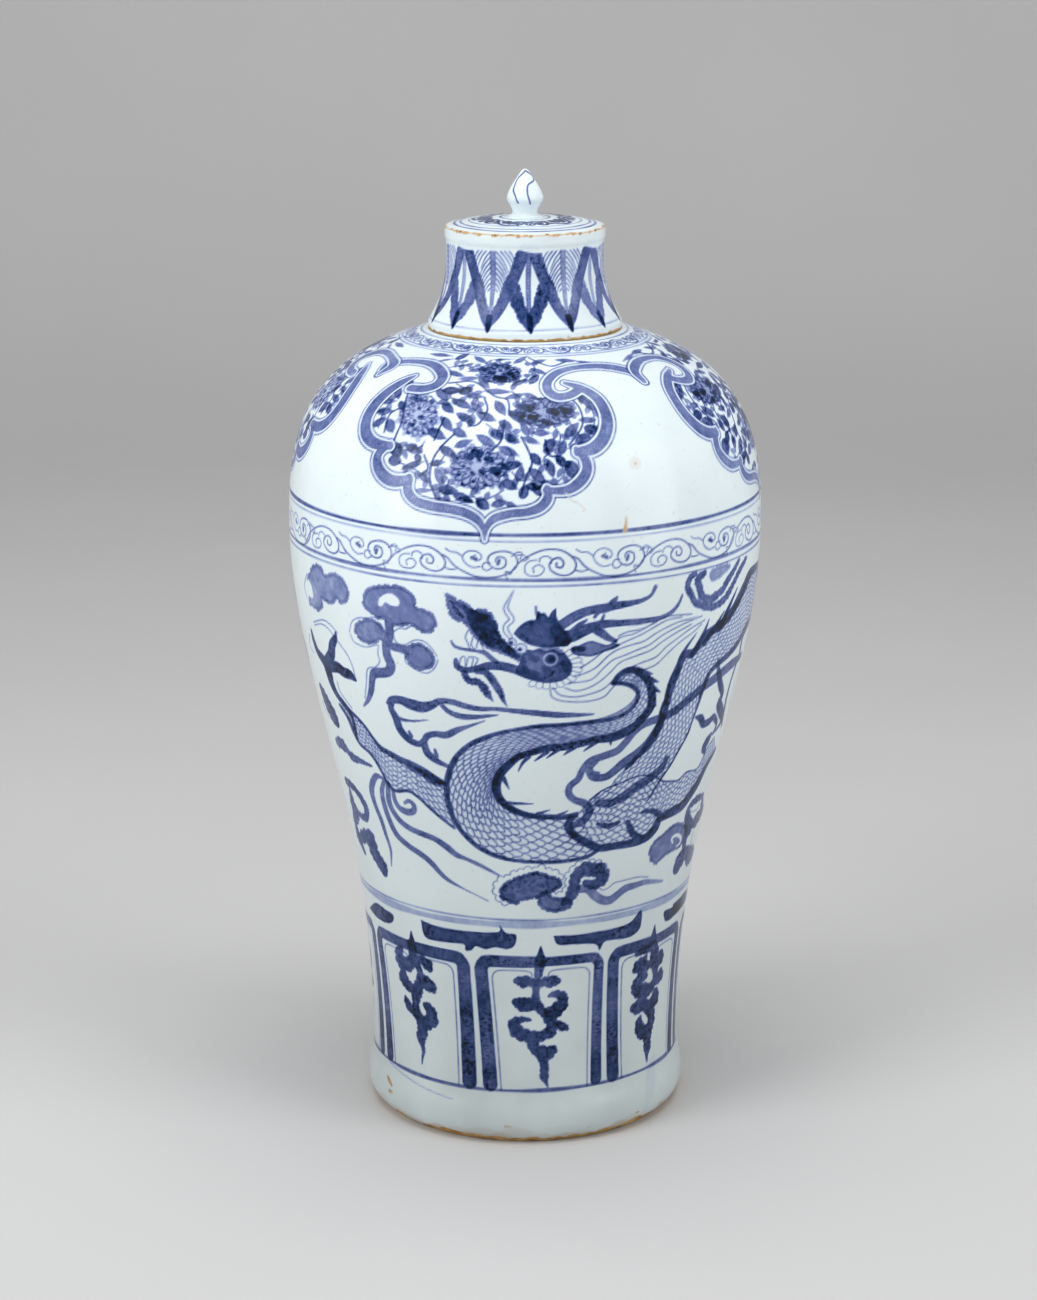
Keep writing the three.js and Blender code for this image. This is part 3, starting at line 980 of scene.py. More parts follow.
def panel(wall, left, right, pendant, pendant_middle):
    """One petal of the border round the foot: a broad frame open at the foot, and what hangs in it."""
    middle = (left[0] + right[0]) / 2
    edges = (left, left[3]), (right, right[2])
    sides = []
    for edge, frame in edges:
        side = panel_side(wall, middle, edge, PANEL_GAP + frame / 2, PANEL_FOOT, PANEL_TOP, 4.5, 0, frame)
        side[:, 2] *= np.linspace(1.06, 0.9, len(side))
        wall.lay(side, 0.3)
        sides.append(side)
    wall.lay([(middle, PANEL_TOP + 1, 6.5), (middle, PANEL_TOP + 4, 3.2), (middle, PANEL_POINT, 0.8)])
    wall.fire(0.83)
    for number, side in enumerate(sides):
        reach = 10 + round(6 * math.sin(left[0] * 7 + number * 2))
        wall.lay(side[:reach], 0.5)
    wall.fire(0.45)
    for edge, frame in edges:
        inset = PANEL_GAP + frame + PANEL_LINE
        top = PANEL_TOP - PANEL_LINE_DROP
        wall.lay(panel_side(wall, middle, edge, inset, PANEL_LINE_FOOT, top, 4, 8, 0.7))
    wall.fire(0.5)
    for line in pendant:
        path = wall.seen(line)
        path[:, 0] += middle - pendant_middle
        path[:, 2] *= PENDANT_BREADTH
        path = smooth(path)
        wall.lay(path, 0.3)
        knobs(wall, path)
    wall.fire(0.9)


def paint_panels(wall):
    """The panels, and over the edges between them the bars. Those behind are made up."""
    edges = np.array(PANEL_EDGES) * (math.radians(1), math.radians(1), 1, 1)
    middles = (edges[:-1, 0] + edges[1:, 0]) / 2
    for number, (left, right) in enumerate(zip(edges, edges[1:])):
        panel(wall, left, right, PENDANTS[number % 3], middles[number % 3])
    wash(wall, *BARS, strength=0.95, rim=0.2)
    for number, edge in enumerate(edges[3:8, 0]):
        reach = BAR_REACH * (1 + 0.1 * math.sin(number * 2.6)) / WAIST_RADIUS
        corner = BAR_CORNER / WAIST_RADIUS
        start, stop = edge - reach, edge + reach
        bar = [(start, BAR_LOW + 2), (start + corner, BAR_LOW), (stop, BAR_LOW + 1)]
        bar += [(stop + corner, BAR_HIGH - 2), (edge, BAR_HIGH), (start - corner, BAR_HIGH - 1)]
        wall.lay_area(bar, 0.2)
    wall.fire(0.95)


# Painting: the dragon's body
COIL_OUTER = (
    (613, 683, 4), (625, 684, 4), (634, 688, 4), (638, 694, 4), (636, 703, 4), (628, 712, 4), (616, 718, 4),
    (600, 721, 4), (580, 723, 4), (560, 725, 4), (540, 726, 4), (520, 729, 4), (500, 733, 4), (485, 738, 5),
    (472, 744, 5), (460, 754, 5), (453, 766, 6), (449, 780, 6), (449, 795, 6), (452, 808, 6), (458, 822, 5),
    (467, 834, 5), (480, 846, 5), (497, 855, 5), (515, 860, 4), (535, 862, 4), (557, 862, 4), (577, 860, 4),
    (592, 856, 4), (600, 851, 4),
)
COIL_RIDGE = (
    (613, 683, 5), (618, 676, 6), (625, 671, 6), (634, 670, 7), (642, 674, 8), (648, 681, 8), (651, 690, 8),
    (652, 700, 9), (650, 709, 9), (643, 718, 9), (634, 727, 9), (622, 734, 10), (610, 738, 9), (595, 740, 8),
    (580, 744, 8), (565, 747, 8), (550, 748, 8), (535, 752, 7), (520, 757, 7), (510, 765, 8), (501, 775, 9),
    (498, 787, 9), (501, 797, 8), (508, 805, 8), (520, 812, 7), (535, 816, 6), (552, 817, 6), (567, 817, 6),
    (578, 815, 6),
)
SPINES = (
    ((643, 672, 5), (652, 674, 1)), ((650, 680, 6), (658, 682, 1)), ((652, 688, 6), (660, 692, 1)),
    ((653, 697, 6), (656, 706, 1)), ((611, 738, 5), (612, 745, 1)), ((597, 742, 5), (585, 751, 1)),
    ((575, 747, 6), (565, 755, 1)), ((560, 749, 5), (548, 758, 1)), ((548, 752, 5), (536, 761, 1)),
    ((530, 757, 4), (524, 763, 3), (520, 771, 1)), ((515, 762, 5), (508, 770, 1)),
    ((505, 778, 5), (511, 789, 1)), ((510, 803, 4), (535, 804, 1)), ((540, 814, 4), (552, 810, 1)),
    ((560, 816, 4), (570, 811, 1)), ((666, 702, 5), (669, 684, 4), (675, 666, 0.8)),
    ((674, 680, 5), (681, 655, 4), (695, 633, 0.8)), ((691, 655, 6), (702, 634, 4), (707.5, 619, 0.8)),
    ((703, 643, 6), (714, 626, 4), (722.5, 611, 0.8)), ((718, 628, 6), (727, 607, 4), (735, 587.5, 0.8)),
    ((732, 610, 5), (742, 590, 4), (750, 570, 0.8)), ((662, 720, 5), (661, 712, 3), (663, 702, 1)),
)
BACK_RIDGE = (
    (628, 768, 4), (640, 755, 5), (652, 740, 7), (660, 725, 8), (664, 712, 9), (668, 697, 8), (672, 684, 8),
    (678, 668, 8), (683, 655, 8), (693, 652, 7), (703, 637, 8), (712, 630, 8), (722, 622, 8), (731, 610, 8),
    (737, 597, 7), (742, 585, 6), (748, 572, 5), (756, 562, 4),
)
BODY_EDGE = (
    (604, 806), (607, 798), (612, 788), (618, 778), (628, 768), (640, 755), (652, 740), (660, 725),
    (668, 697), (678, 668), (693, 650), (712, 630), (731, 610), (742, 585), (748, 572), (756, 562),
)
BELLY_EDGE = (
    (650, 800, 2), (662, 780, 2), (672, 765, 2), (680, 750, 2), (688, 735, 2), (693, 720, 2), (698, 705, 3),
    (704, 685, 5), (709, 673, 5), (717, 664, 5), (728, 654, 5), (737, 642, 5), (744, 627, 5), (750, 613, 5),
    (757, 598, 5),
)
HAUNCH_UPPER = (
    (592, 800, 2), (605, 790, 2), (620, 784, 2), (640, 776, 2), (655, 776, 2), (665, 781, 2), (672, 781, 2),
    (680, 780, 2), (688, 772, 2), (698, 769, 2), (703, 760, 2), (708, 748, 2), (715, 737, 2),
)
HAUNCH_LOWER = (
    (574, 818, 7), (571, 826, 8), (577, 835, 8), (590, 843, 8), (603, 848, 8), (617, 846, 8), (630, 844, 8),
    (641, 841, 9), (651, 836, 9), (658, 828, 9), (662, 819, 8), (672, 813, 9), (684, 806, 9), (692, 795, 9),
    (700, 782, 8), (708, 765, 6), (716, 750, 4),
)
ELBOW = (
    ((600, 824, 3), (612, 826, 6), (622, 822, 3)), ((630, 822, 5), (636, 834, 7), (644, 838, 6)),
    ((645, 812, 3), (655, 811, 5), (664, 816, 6)),
)
RIBBONS = (
    ((740, 655, 4), (730, 665, 7), (716, 677, 8), (702, 688, 8), (690, 698, 8), (680, 707, 8), (668, 715, 8),
     (655, 720, 8), (643, 725, 8), (634, 733, 8), (626, 743, 8), (618, 751, 8), (605, 756, 8), (592, 761, 8),
     (584, 770, 7), (580, 779, 7), (572, 786, 7), (571, 794, 7), (577, 800, 7), (586, 803, 8), (592, 810, 8),
     (587, 820, 8), (575, 826, 7)),
    ((590, 770, 7), (595, 777, 8), (607, 777, 8), (617, 770, 9), (625, 763, 10), (637, 755, 11),
     (648, 745, 11), (655, 735, 11), (660, 725, 9), (664, 715, 6)),
    ((598, 762, 4), (592, 768, 5), (594, 773, 5), (600, 773, 3)),
    ((600, 803, 7), (612, 803, 8), (625, 797, 9), (638, 787, 9), (652, 778, 9), (663, 768, 8),
     (668, 758, 5)),
)
SIDE_RIBBON = (
    (717, 660, 2), (718, 672, 5), (720, 684, 6), (722, 694, 5), (719, 703, 7), (721, 711, 7), (722, 720, 4),
    (716, 731, 2),
)
EDGE_LINE = (
    (749, 615, 3), (742, 635, 3), (738, 655, 3), (732, 675, 3), (727, 695, 3), (724, 712, 3), (722, 726, 2),
)
CLAWS = (
    ((696, 717, 2), (701, 718, 6), (704, 724, 6), (710, 721, 6), (714, 717, 5), (717, 724, 3),
     (714, 733, 3)),
    ((712, 734, 3), (708, 741, 8), (705, 748, 7), (706, 753, 2)),
)
# The part of the body that turns over behind the vase's right side: degrees round, place along and width
BEHIND_RIDGE = (
    (80.5, 279, 4), (83, 285, 6), (86.5, 288, 8), (90, 287, 8), (93.5, 282, 8), (96, 274, 8), (97, 264, 7),
    (97, 253, 6), (96.5, 243, 4),
)
BEHIND_BELLY = (
    (81, 262, 4), (83.5, 266, 4), (86, 267, 3), (88.5, 265, 3), (90.5, 259, 3), (92, 252, 3), (94, 246, 3),
    (96.5, 243, 2),
)
BEHIND_TUFT = (
    ((96.5, 246, 6), (98, 238, 7), (97.5, 228, 5), (95.5, 219, 1)),
    ((96, 246, 6), (94, 238, 6), (93, 229, 5), (94, 221, 1)),
    ((97, 247, 5), (99.5, 243, 5), (100.5, 236, 1)),
)
BEHIND_CLOUD = (
    ((87.5, 193, 9), (90.5, 198, 12), (94.5, 196, 10), (96.5, 192, 7)),
    ((91, 196, 6), (91.5, 186, 5), (93.5, 178, 5), (92.5, 168, 4), (90.5, 160, 1)),
    ((92, 184, 4), (95, 182, 7), (96.5, 179, 6)),
)
TAIL_UPPER = (
    (342, 700, 3), (350, 710, 3), (358, 718, 3), (366, 727, 3), (374, 738, 3), (382, 748, 5), (392, 754, 6),
    (402, 760, 7), (412, 764, 7), (425, 771, 8), (437, 779, 8), (448, 784, 5),
)
TAIL_LOWER = (
    (340, 705, 3), (348, 717, 4), (355, 733, 4), (361, 744, 3), (370, 752, 3), (377, 761, 3), (384, 773, 3),
    (390, 784, 3), (398, 791, 3), (410, 791, 3), (420, 797, 3), (432, 808, 3), (445, 819, 3), (457, 828, 3),
)
TAIL_MANE = ((410, 767, 5), (425, 773, 9), (434, 779, 11), (441, 783, 9), (447, 784, 4))
TAIL_TIP = (
    ((310, 631, 3), (313, 642, 5), (317, 652, 6), (324, 662, 9), (328, 672, 10), (331, 682, 8),
     (336, 693, 6), (343, 703, 5), (352, 716, 4), (358, 738, 3)),
    ((325, 664, 8), (330, 655, 9), (331, 645, 8), (334, 638, 5), (334, 633, 2)),
    ((328, 668, 6), (336, 667, 9), (343, 672, 9), (350, 675, 8), (355, 680, 3)),
)
TAIL_BOW = (
    ((313, 625), (320, 624), (327, 629), (333, 637), (340, 646), (347, 656), (352, 667), (355, 678)),
    ((312, 622), (321, 620), (329, 625), (336, 633)),
    ((308, 634), (309, 645), (313, 653)),
    ((337, 682), (339, 690), (345, 699), (352, 708)),
)
STRANDS = (
    ((384, 778, 3), (378, 776, 5), (374, 784, 6), (374, 793, 6), (378, 806, 5), (384, 820, 5), (389, 835, 4),
     (394, 850, 3), (395, 866, 1)),
    ((386, 780, 4), (384, 792, 5), (387, 806, 6), (393, 822, 6), (400, 835, 6), (412, 846, 6), (424, 854, 6),
     (434, 862, 6), (444, 873, 5), (452, 880, 4), (464, 887, 2), (480, 895, 1), (492, 901, 1)),
    ((390, 784, 5), (391, 800, 6), (396, 812, 6), (404, 822, 6), (414, 829, 6), (428, 835, 6), (438, 839, 6),
     (450, 847, 7), (460, 855, 6), (470, 859, 4), (485, 866, 4), (502, 875, 2)),
    ((395, 790, 4), (397, 800, 5), (402, 808, 6), (410, 812, 7), (416, 811, 6), (416, 805, 5), (411, 801, 4),
     (407, 803, 3)),
)


# Pieces of the body over others, with the size of their scales at the start and at the end
OVERLAPS = ((HAUNCH_UPPER, HAUNCH_LOWER, 4.0, 2.4), (COIL_OUTER, COIL_RIDGE, 2.4, 4.6))


def round_back(wall, points):
    """Points given as degrees round, place along and width, as a smooth line."""
    line = np.array(points, float)
    line[:, 0] = np.radians(line[:, 0]) + wall.turned
    return smooth(line)


def paint_dragon_body(wall):
    draw(wall, EDGE_LINE, strength=0.9)
    thin(wall, [(x + 4, y) for x, y, _ in EDGE_LINE], strength=0.5)
    scales(wall, BODY_EDGE, BELLY_EDGE, 3.1, 2.5)
    scales(wall, TAIL_UPPER, TAIL_LOWER, 2.0, 3.4)
    for upper, lower, first, last in OVERLAPS:
        wall.lay_area(wall.seen(upper + lower[::-1]))
        wall.fire(0.0)
        scales(wall, upper, lower, first, last)
    draw(wall, TAIL_UPPER, TAIL_LOWER, strength=0.75)
    draw(wall, TAIL_MANE, strength=0.7)
    draw(wall, *TAIL_TIP, strength=0.93)
    thin(wall, *TAIL_BOW)
    draw(wall, *STRANDS, strength=0.74, rim=0.35)
    thin(wall, HAUNCH_UPPER, strength=0.7)
    draw(wall, HAUNCH_LOWER, *ELBOW, strength=0.86)
    draw(wall, BELLY_EDGE, strength=0.8)
    draw(wall, BACK_RIDGE, strength=0.84)
    draw(wall, *RIBBONS, strength=0.74, rim=0.3)
    draw(wall, SIDE_RIBBON, *CLAWS, strength=0.86)
    draw(wall, COIL_OUTER, strength=0.84)
    draw(wall, COIL_RIDGE, *SPINES, strength=0.92)
    ridge, belly = round_back(wall, BEHIND_RIDGE), round_back(wall, BEHIND_BELLY)
    wall.lay_area(np.vstack([ridge, belly[::-1]]))
    wall.fire(0.26)
    for line in (ridge, belly, *(round_back(wall, line) for line in BEHIND_TUFT)):
        wall.lay(line, 0.2)
    wall.fire(0.84)
    for line in BEHIND_CLOUD:
        path = round_back(wall, line)
        wall.lay(path, 0.3)
        knobs(wall, path)
    wall.fire(0.7)


# Painting: the dragon's head
SNOUT = (
    (441.8, 595), (447.7, 595.8), (454.3, 600.8), (461, 602.5), (466, 606.7), (471, 611.7), (479.3, 610),
    (486, 612.5), (491, 618.3), (494.3, 624.2), (493.5, 629.2), (496, 636.7), (501, 642.5), (507.7, 646.7),
    (516, 653.3), (523, 659), (524, 667), (517.7, 660), (507.7, 655), (499.3, 651.7), (489.3, 648.3),
    (481, 642.5), (476, 637.5), (471, 632.5), (467.7, 626.7), (462.7, 622.5), (454.3, 619.2), (449.3, 615),
    (446.8, 608.3), (445.2, 600),
)
SNOUT_CORE = (
    ((455, 604, 3), (462, 608, 4), (469, 612, 5), (479, 617, 8), (487, 622, 9), (491, 629, 8), (493, 636, 9),
     (499, 643, 9), (507, 650, 7), (516, 656, 5)),
    ((467, 618, 4), (473, 626, 6), (480, 634, 8), (487, 641, 7), (495, 647, 5)),
    ((449, 601, 2), (454, 610, 3), (461, 617, 3)),
    ((464, 612, 2), (472, 619, 5), (482, 628, 7), (490, 637, 6)),
)
FOREHEAD = (
    (512.5, 633.3), (516, 628.3), (522.7, 622.5), (529.3, 620), (534.5, 619.5), (536, 611), (539, 613.5),
    (543, 613), (546.5, 617.5), (549, 613), (553.8, 608.5), (554.6, 617), (557, 622), (560, 627), (566, 633),
    (570, 640), (566, 646), (556, 646.7), (542.7, 647.5), (529.3, 645), (521, 640.8), (514.5, 636),
)
FOREHEAD_DARK = ((553, 620, 5), (553.5, 627, 8), (555, 634, 8), (556, 641, 6))
HORNS = (
    ((553, 630, 9), (563, 623, 10), (572, 617, 10), (583, 612, 9), (595, 609, 8), (607, 607, 8),
     (618, 605, 7), (630, 603, 5), (641, 600, 4), (649, 595, 3), (653, 587, 4)),
    ((606, 606, 4), (611, 602, 6), (615, 597, 2)),
    ((593, 617, 3), (597, 612, 4), (606, 610, 4)),
    ((560, 637, 13), (570, 636, 13), (581, 631, 12), (592, 627, 10), (604, 624, 8), (620, 623, 6),
     (634, 622, 6), (648, 620, 5), (661, 617, 4), (671, 611, 4), (677, 603, 3), (680, 595, 2)),
    ((572, 631, 7), (578, 625, 5), (585, 620, 2)),
    ((600, 622, 4), (602, 615, 2)),
    ((592, 629, 7), (600, 633, 8), (607, 638, 6), (615, 641, 3)),
    ((533.8, 606.7, 1.5), (534.5, 613, 2), (536, 619, 3)),
)
EAR = (
    (570, 652), (575, 655), (582, 656), (592, 656), (602, 652), (612, 649), (619, 645), (613, 643),
    (605, 645), (598, 643), (590, 641), (583, 643), (577, 646), (570, 648),
)
EAR_HOLLOW = ((573, 649, 5), (582, 649, 5))
CHEEK = (
    (522, 653), (526, 649.5), (532, 650.5), (537, 648.5), (545, 651), (553, 649.5), (559, 653), (563, 653),
    (567, 657.5), (571.5, 665), (570, 674), (563, 680), (553, 682.5), (541, 682.5), (529, 679.5), (520, 676),
    (515, 670.5), (519, 663),
)
FACE_DABS = (
    ((524, 668, 5), (527, 672, 6)),
    ((543, 668, 5), (548, 673, 7), (545, 677, 4)),
    ((562, 663, 4), (566, 670, 6)),
    ((529, 657, 5), (535, 659, 7)),
    ((516, 633, 4), (521, 636, 5)),
    ((527, 640, 4), (536, 642, 5)),
    ((538, 649.5, 3), (546, 648.5, 4), (556, 649.5, 4), (562, 653, 3)),
)
EYE = (549.7, 659.3)
NOSTRILS = ((511, 642), (520, 648.6))
JAW = (
    (455, 660, 4), (456, 666, 6), (464, 670, 6), (475, 669, 6), (487, 666, 8), (500, 666, 9), (513, 669, 9),
    (525, 673, 10), (540, 677, 9),
)
TONGUE = (
    (450, 641, 2), (453, 646, 3), (462, 649, 3), (475, 651, 3), (484, 653, 5), (490, 658, 5), (496, 662, 4),
)
TEETH = (
    ((458, 668), (460, 658), (464, 657), (465, 667)), ((465, 667), (468, 657), (472, 659), (471, 667)),
    ((472, 657), (477, 659), (474, 666)), ((467, 630), (464, 637), (467, 644), (469, 650)),
    ((472, 636), (470, 645), (474, 650)), ((477, 640), (475, 648)), ((480, 643), (483, 651)),
)
BEARDS = (
    ((463, 672, 5), (469, 681, 6), (478, 682, 6), (484, 689, 7), (488, 695, 5), (493, 701, 1)),
    ((476, 671, 5), (486, 673, 6), (493, 682, 6), (499, 690, 6), (502, 698, 4), (507, 706, 1)),
    ((486, 672, 4), (490, 680, 4), (497, 689, 3)),
)
WHISKER = (
    (511, 591, 0.3), (505.8, 602, 2.4), (503.8, 609, 4.2), (507.5, 615, 4.8), (510, 620, 4.6),
    (504.5, 625.5, 4.2), (504.5, 631, 4.8), (509, 637, 3.6),
)
FRILL_MIDDLE = (547, 666)
FRILL_INSIDE = (25, 16)
FRILL_OUTSIDE = (34, 22.5)
FRILL_START = math.radians(-50)
FRILL_TURN = math.radians(13.5)
FRILL_PETALS = 13
# One petal of the frill: shares of its turn and of its reach
FRILL_PETAL = ((0, 0), (0, 0.75), (0.2, 1.05), (0.5, 1.15), (0.8, 1.05), (1, 0.75), (1, 0))
MANE = (
    ((550, 690), (552, 697), (562, 701), (580, 702), (595, 700), (605, 696), (612, 688), (622, 678),
     (632, 672), (645, 669), (656, 664), (668, 652), (680, 641), (692, 632), (700, 624)),
    ((553, 688), (560, 695), (575, 697), (590, 694), (603, 689), (613, 680), (625, 670), (640, 663),
     (655, 657), (665, 647), (678, 637), (690, 628), (703, 620)),
    ((565, 688), (575, 691), (588, 688), (600, 681), (610, 672), (620, 662), (635, 656), (650, 650),
     (662, 641), (676, 632), (690, 624)),
    ((568, 683), (580, 682), (592, 679), (603, 668), (612, 660), (622, 656), (636, 650), (648, 645),
     (660, 636), (672, 629), (686, 622), (700, 616)),
    ((574, 676), (585, 673), (596, 667), (606, 657), (616, 650), (630, 645), (643, 641), (655, 633),
     (668, 626), (680, 621), (696, 617)),
    ((580, 668), (592, 660), (603, 651), (615, 646), (628, 640), (641, 634), (653, 627), (666, 620),
     (680, 617)),
    ((611, 643), (620, 637), (632, 634), (644, 628), (655, 621), (668, 616), (690, 614)),
    ((617, 636), (626, 632), (640, 629), (655, 622)),
)


def spot(wall, place, size, strength):
    """A round dot at a photograph point."""
    x, y = place
    wall.lay(wall.seen([(x - 0.3, y, size), (x + 0.3, y, size)]))
    wall.fire(strength)


def paint_dragon_head(wall):
    thin(wall, *MANE, width=0.75, strength=0.5)
    petals = []
    for number in range(FRILL_PETALS):
        petal = []
        for share, out in FRILL_PETAL:
            turn = FRILL_START + (number + share) * FRILL_TURN
            across, down = (a + out * (b - a) for a, b in zip(FRILL_INSIDE, FRILL_OUTSIDE))
            petal.append((FRILL_MIDDLE[0] + across * math.cos(turn), FRILL_MIDDLE[1] + down * math.sin(turn)))
        petals.append(petal)
    thin(wall, *petals, width=0.45, strength=0.5)
    draw(wall, *HORNS, strength=0.84, rim=0.3)
    wash(wall, SNOUT, strength=0.74, lobes=1.9)
    knobbed(wall, *SNOUT_CORE, strength=0.95, rim=0.35)
    draw(wall, JAW, strength=0.84, rim=0.3)
    knobbed(wall, *BEARDS, strength=0.86)
    draw(wall, TONGUE, strength=0.7)
    thin(wall, *TEETH)
    wash(wall, CHEEK, strength=0.84, rim=0.24, pool=3.0)
    wash(wall, FOREHEAD, strength=0.93, rim=0.16, pool=3.0)
    knobbed(wall, FOREHEAD_DARK, *FACE_DABS, strength=0.6)
    wash(wall, EAR, strength=0.78, rim=0.35)
    draw(wall, EAR_HOLLOW, strength=0.9)
    for size, strength in ((14, 0.0), (14, 0.34), (10, 0.74)):
        spot(wall, EYE, size, strength)
    spot(wall, (EYE[0] + 1, EYE[1]), 6, 0.95)
    for (x, y), size in zip(NOSTRILS, (8, 11.5)):
        for across, strength in ((size, 0.0), (size, 0.55), (size - 2.4, 0.0), (size - 2.4, 0.12)):
            spot(wall, (x, y), across, strength)
        spot(wall, (x - 1.2, y + 0.8), 3.4, 0.85)
    for more, strength in ((1.3, 0.5), (-1.5, 0.0)):
        wall.lay(wall.path([(x, y, max(width + more, 0.1)) for x, y, width in WHISKER]))
        wall.fire(strength)


# Painting: the pearl, flames and clouds
PEARL = (
    ((693, 574, 4), (688, 577, 5), (685, 586, 5), (689, 595, 5), (693, 602, 5), (701, 606, 5), (710, 607, 5),
     (718, 603, 5), (725, 595, 5), (731, 583, 4), (737, 570, 4), (743, 558, 3)),
    ((702, 573, 5), (695, 580, 6), (697, 588, 6), (700, 596, 6), (707, 600, 6), (713, 596, 6), (720, 590, 5),
     (724, 582, 5), (730, 572, 4), (736, 560, 3)),
)
PEARL_HEART = ((707, 578), (709, 571), (716, 567), (724, 565), (727, 566), (722, 572), (715, 578), (709, 580))
FLAME = (
    ((388, 703, 4), (392, 700, 7), (400, 700, 8), (410, 704, 11), (422, 707, 11), (432, 705, 8),
     (440, 701, 6), (452, 702, 6), (465, 706, 6), (480, 709, 5), (495, 709, 4), (515, 711, 5), (535, 713, 6),
     (560, 715, 6), (580, 715, 4), (594, 714, 1.5)),
    ((440, 703, 4), (448, 711, 5), (460, 716, 6), (475, 717, 5), (498, 715, 1.5)),
    ((392, 700, 7), (391, 708, 6), (396, 717, 8), (400, 728, 8), (405, 735, 8), (412, 741, 7), (420, 744, 6),
     (425, 741, 6), (428, 736, 6), (436, 734, 6), (447, 735, 7), (458, 730, 6), (470, 726, 3),
     (485, 721, 1)),
    ((425, 743, 7), (428, 752, 8), (433, 757, 8), (440, 762, 6), (449, 766, 4)),
    ((436, 750, 3), (438, 756, 4)),
    ((410, 732, 3), (412, 736, 4)),
    ((398, 718, 4), (405, 720, 3), (415, 721, 2), (428, 720, 1)),
)
CLOUD_AREAS = (
    ((308, 570), (312, 565), (318, 568), (322, 576), (330, 574), (337, 577), (343, 585), (346, 592),
     (344, 600), (339, 603), (334, 598), (330, 603), (324, 601), (319, 598), (320, 606), (316, 610),
     (311, 606), (307, 602), (309, 590), (305, 580)),
    ((361, 598), (365, 590), (374, 587), (386, 586), (396, 587), (406, 592), (412, 600), (414, 608),
     (422, 611), (430, 615), (434, 623), (431, 630), (423, 632), (416, 628), (408, 624), (398, 625),
     (389, 624), (384, 618), (376, 618), (370, 613), (364, 608), (361, 603)),
    ((354, 632), (354, 626), (360, 621), (368, 620), (376, 623), (381, 629), (386, 634), (386, 641),
     (378, 640), (370, 643), (362, 641), (357, 637)),
    ((404, 650), (412, 645), (420, 645), (428, 651), (433, 660), (430, 666), (422, 669), (414, 667),
     (407, 660)),
    ((504, 892), (508, 885), (518, 879), (528, 876), (538, 873), (546, 874), (553, 877), (562, 879),
     (564, 885), (558, 890), (550, 892), (545, 896), (536, 898), (528, 899), (520, 903), (512, 901),
     (506, 898)),
    ((541, 897), (550, 892), (556, 898), (566, 899), (572, 900), (575, 906), (568, 909), (560, 911),
     (552, 910), (545, 906)),
    ((655, 862), (653, 852), (658, 842), (666, 835), (672, 829), (680, 824), (688, 826), (690, 832),
     (685, 838), (684, 845), (676, 850), (668, 855), (660, 863)),
)
CLOUD_STRENGTHS = (0.62, 0.7, 0.68, 0.76, 0.9, 0.86, 0.74)
CLOUD_HOLES = (
    ((377, 598), (383, 594), (390, 594), (397, 600), (396, 606), (388, 605), (383, 602), (380, 606),
     (376, 605)),
    ((305, 578), (309, 586), (311, 597), (308, 597), (305, 588)),
)
CLOUD_CURL = (
    (676, 843, 1.4), (674.8, 839.5, 2.4), (676.5, 836.5, 2.6), (680.5, 835, 2.8), (683.8, 838, 2.6),
    (683, 843, 2.2), (679.5, 846.5, 1.2),
)
CLOUD_STROKES = (
    ((387, 622, 9), (388, 635, 9), (385, 645, 9), (386, 655, 9), (390, 665, 10), (387, 672, 9),
     (375, 673, 9), (372, 677, 7), (371, 690, 6), (368, 700, 4), (364, 706, 1.5)),
    ((386, 645, 7), (397, 648, 8), (408, 651, 9)),
    ((568, 903, 7), (575, 896, 10), (578, 886, 10), (580, 877, 10), (586, 870, 12), (594, 869, 13),
     (602, 871, 13), (606, 877, 11), (602, 883, 10), (595, 884.5, 8), (589, 882.5, 6)),
    ((321, 688, 6), (325, 697, 9), (329, 706, 11), (333, 714, 12), (337, 722, 8)),
    ((338, 742, 5), (343, 744, 8), (348, 750, 5), (354, 757, 6), (362, 761, 4), (373, 766, 2)),
    ((348, 781, 5), (353, 785, 5), (360, 793, 5), (366, 803, 6), (369, 811, 6), (368, 818, 5), (362, 814, 4),
     (357, 806, 4)),
    ((352, 790, 3), (355, 803, 7), (358, 812, 8), (358, 822, 5)),
    ((359, 825, 4), (362, 838, 5), (368, 836, 8), (374, 838, 10), (376, 848, 12), (381, 858, 12),
     (386, 866, 12), (388, 872, 8)),
    ((364, 842, 6), (368, 852, 4)),
    ((705, 795, 3), (704, 805, 4), (706, 812, 3)),
    ((704, 796, 3), (698, 800, 5), (691, 808, 4), (690, 820, 7), (692, 828, 9), (688, 838, 6), (687, 850, 6),
     (684, 858, 12), (681, 866, 12)),
    ((704, 812, 6), (700, 818, 8), (695, 824, 6)),
    ((689, 850, 6), (693, 855, 9), (698, 853, 5)),
)
CLOUD_TRAIL = (
    (584, 889, 9), (592, 889, 9), (598, 895, 9), (606, 900, 9), (614, 900, 9), (622, 894, 8), (630, 888, 8),
    (640, 885, 6), (650, 882, 5), (666, 881, 2),
)
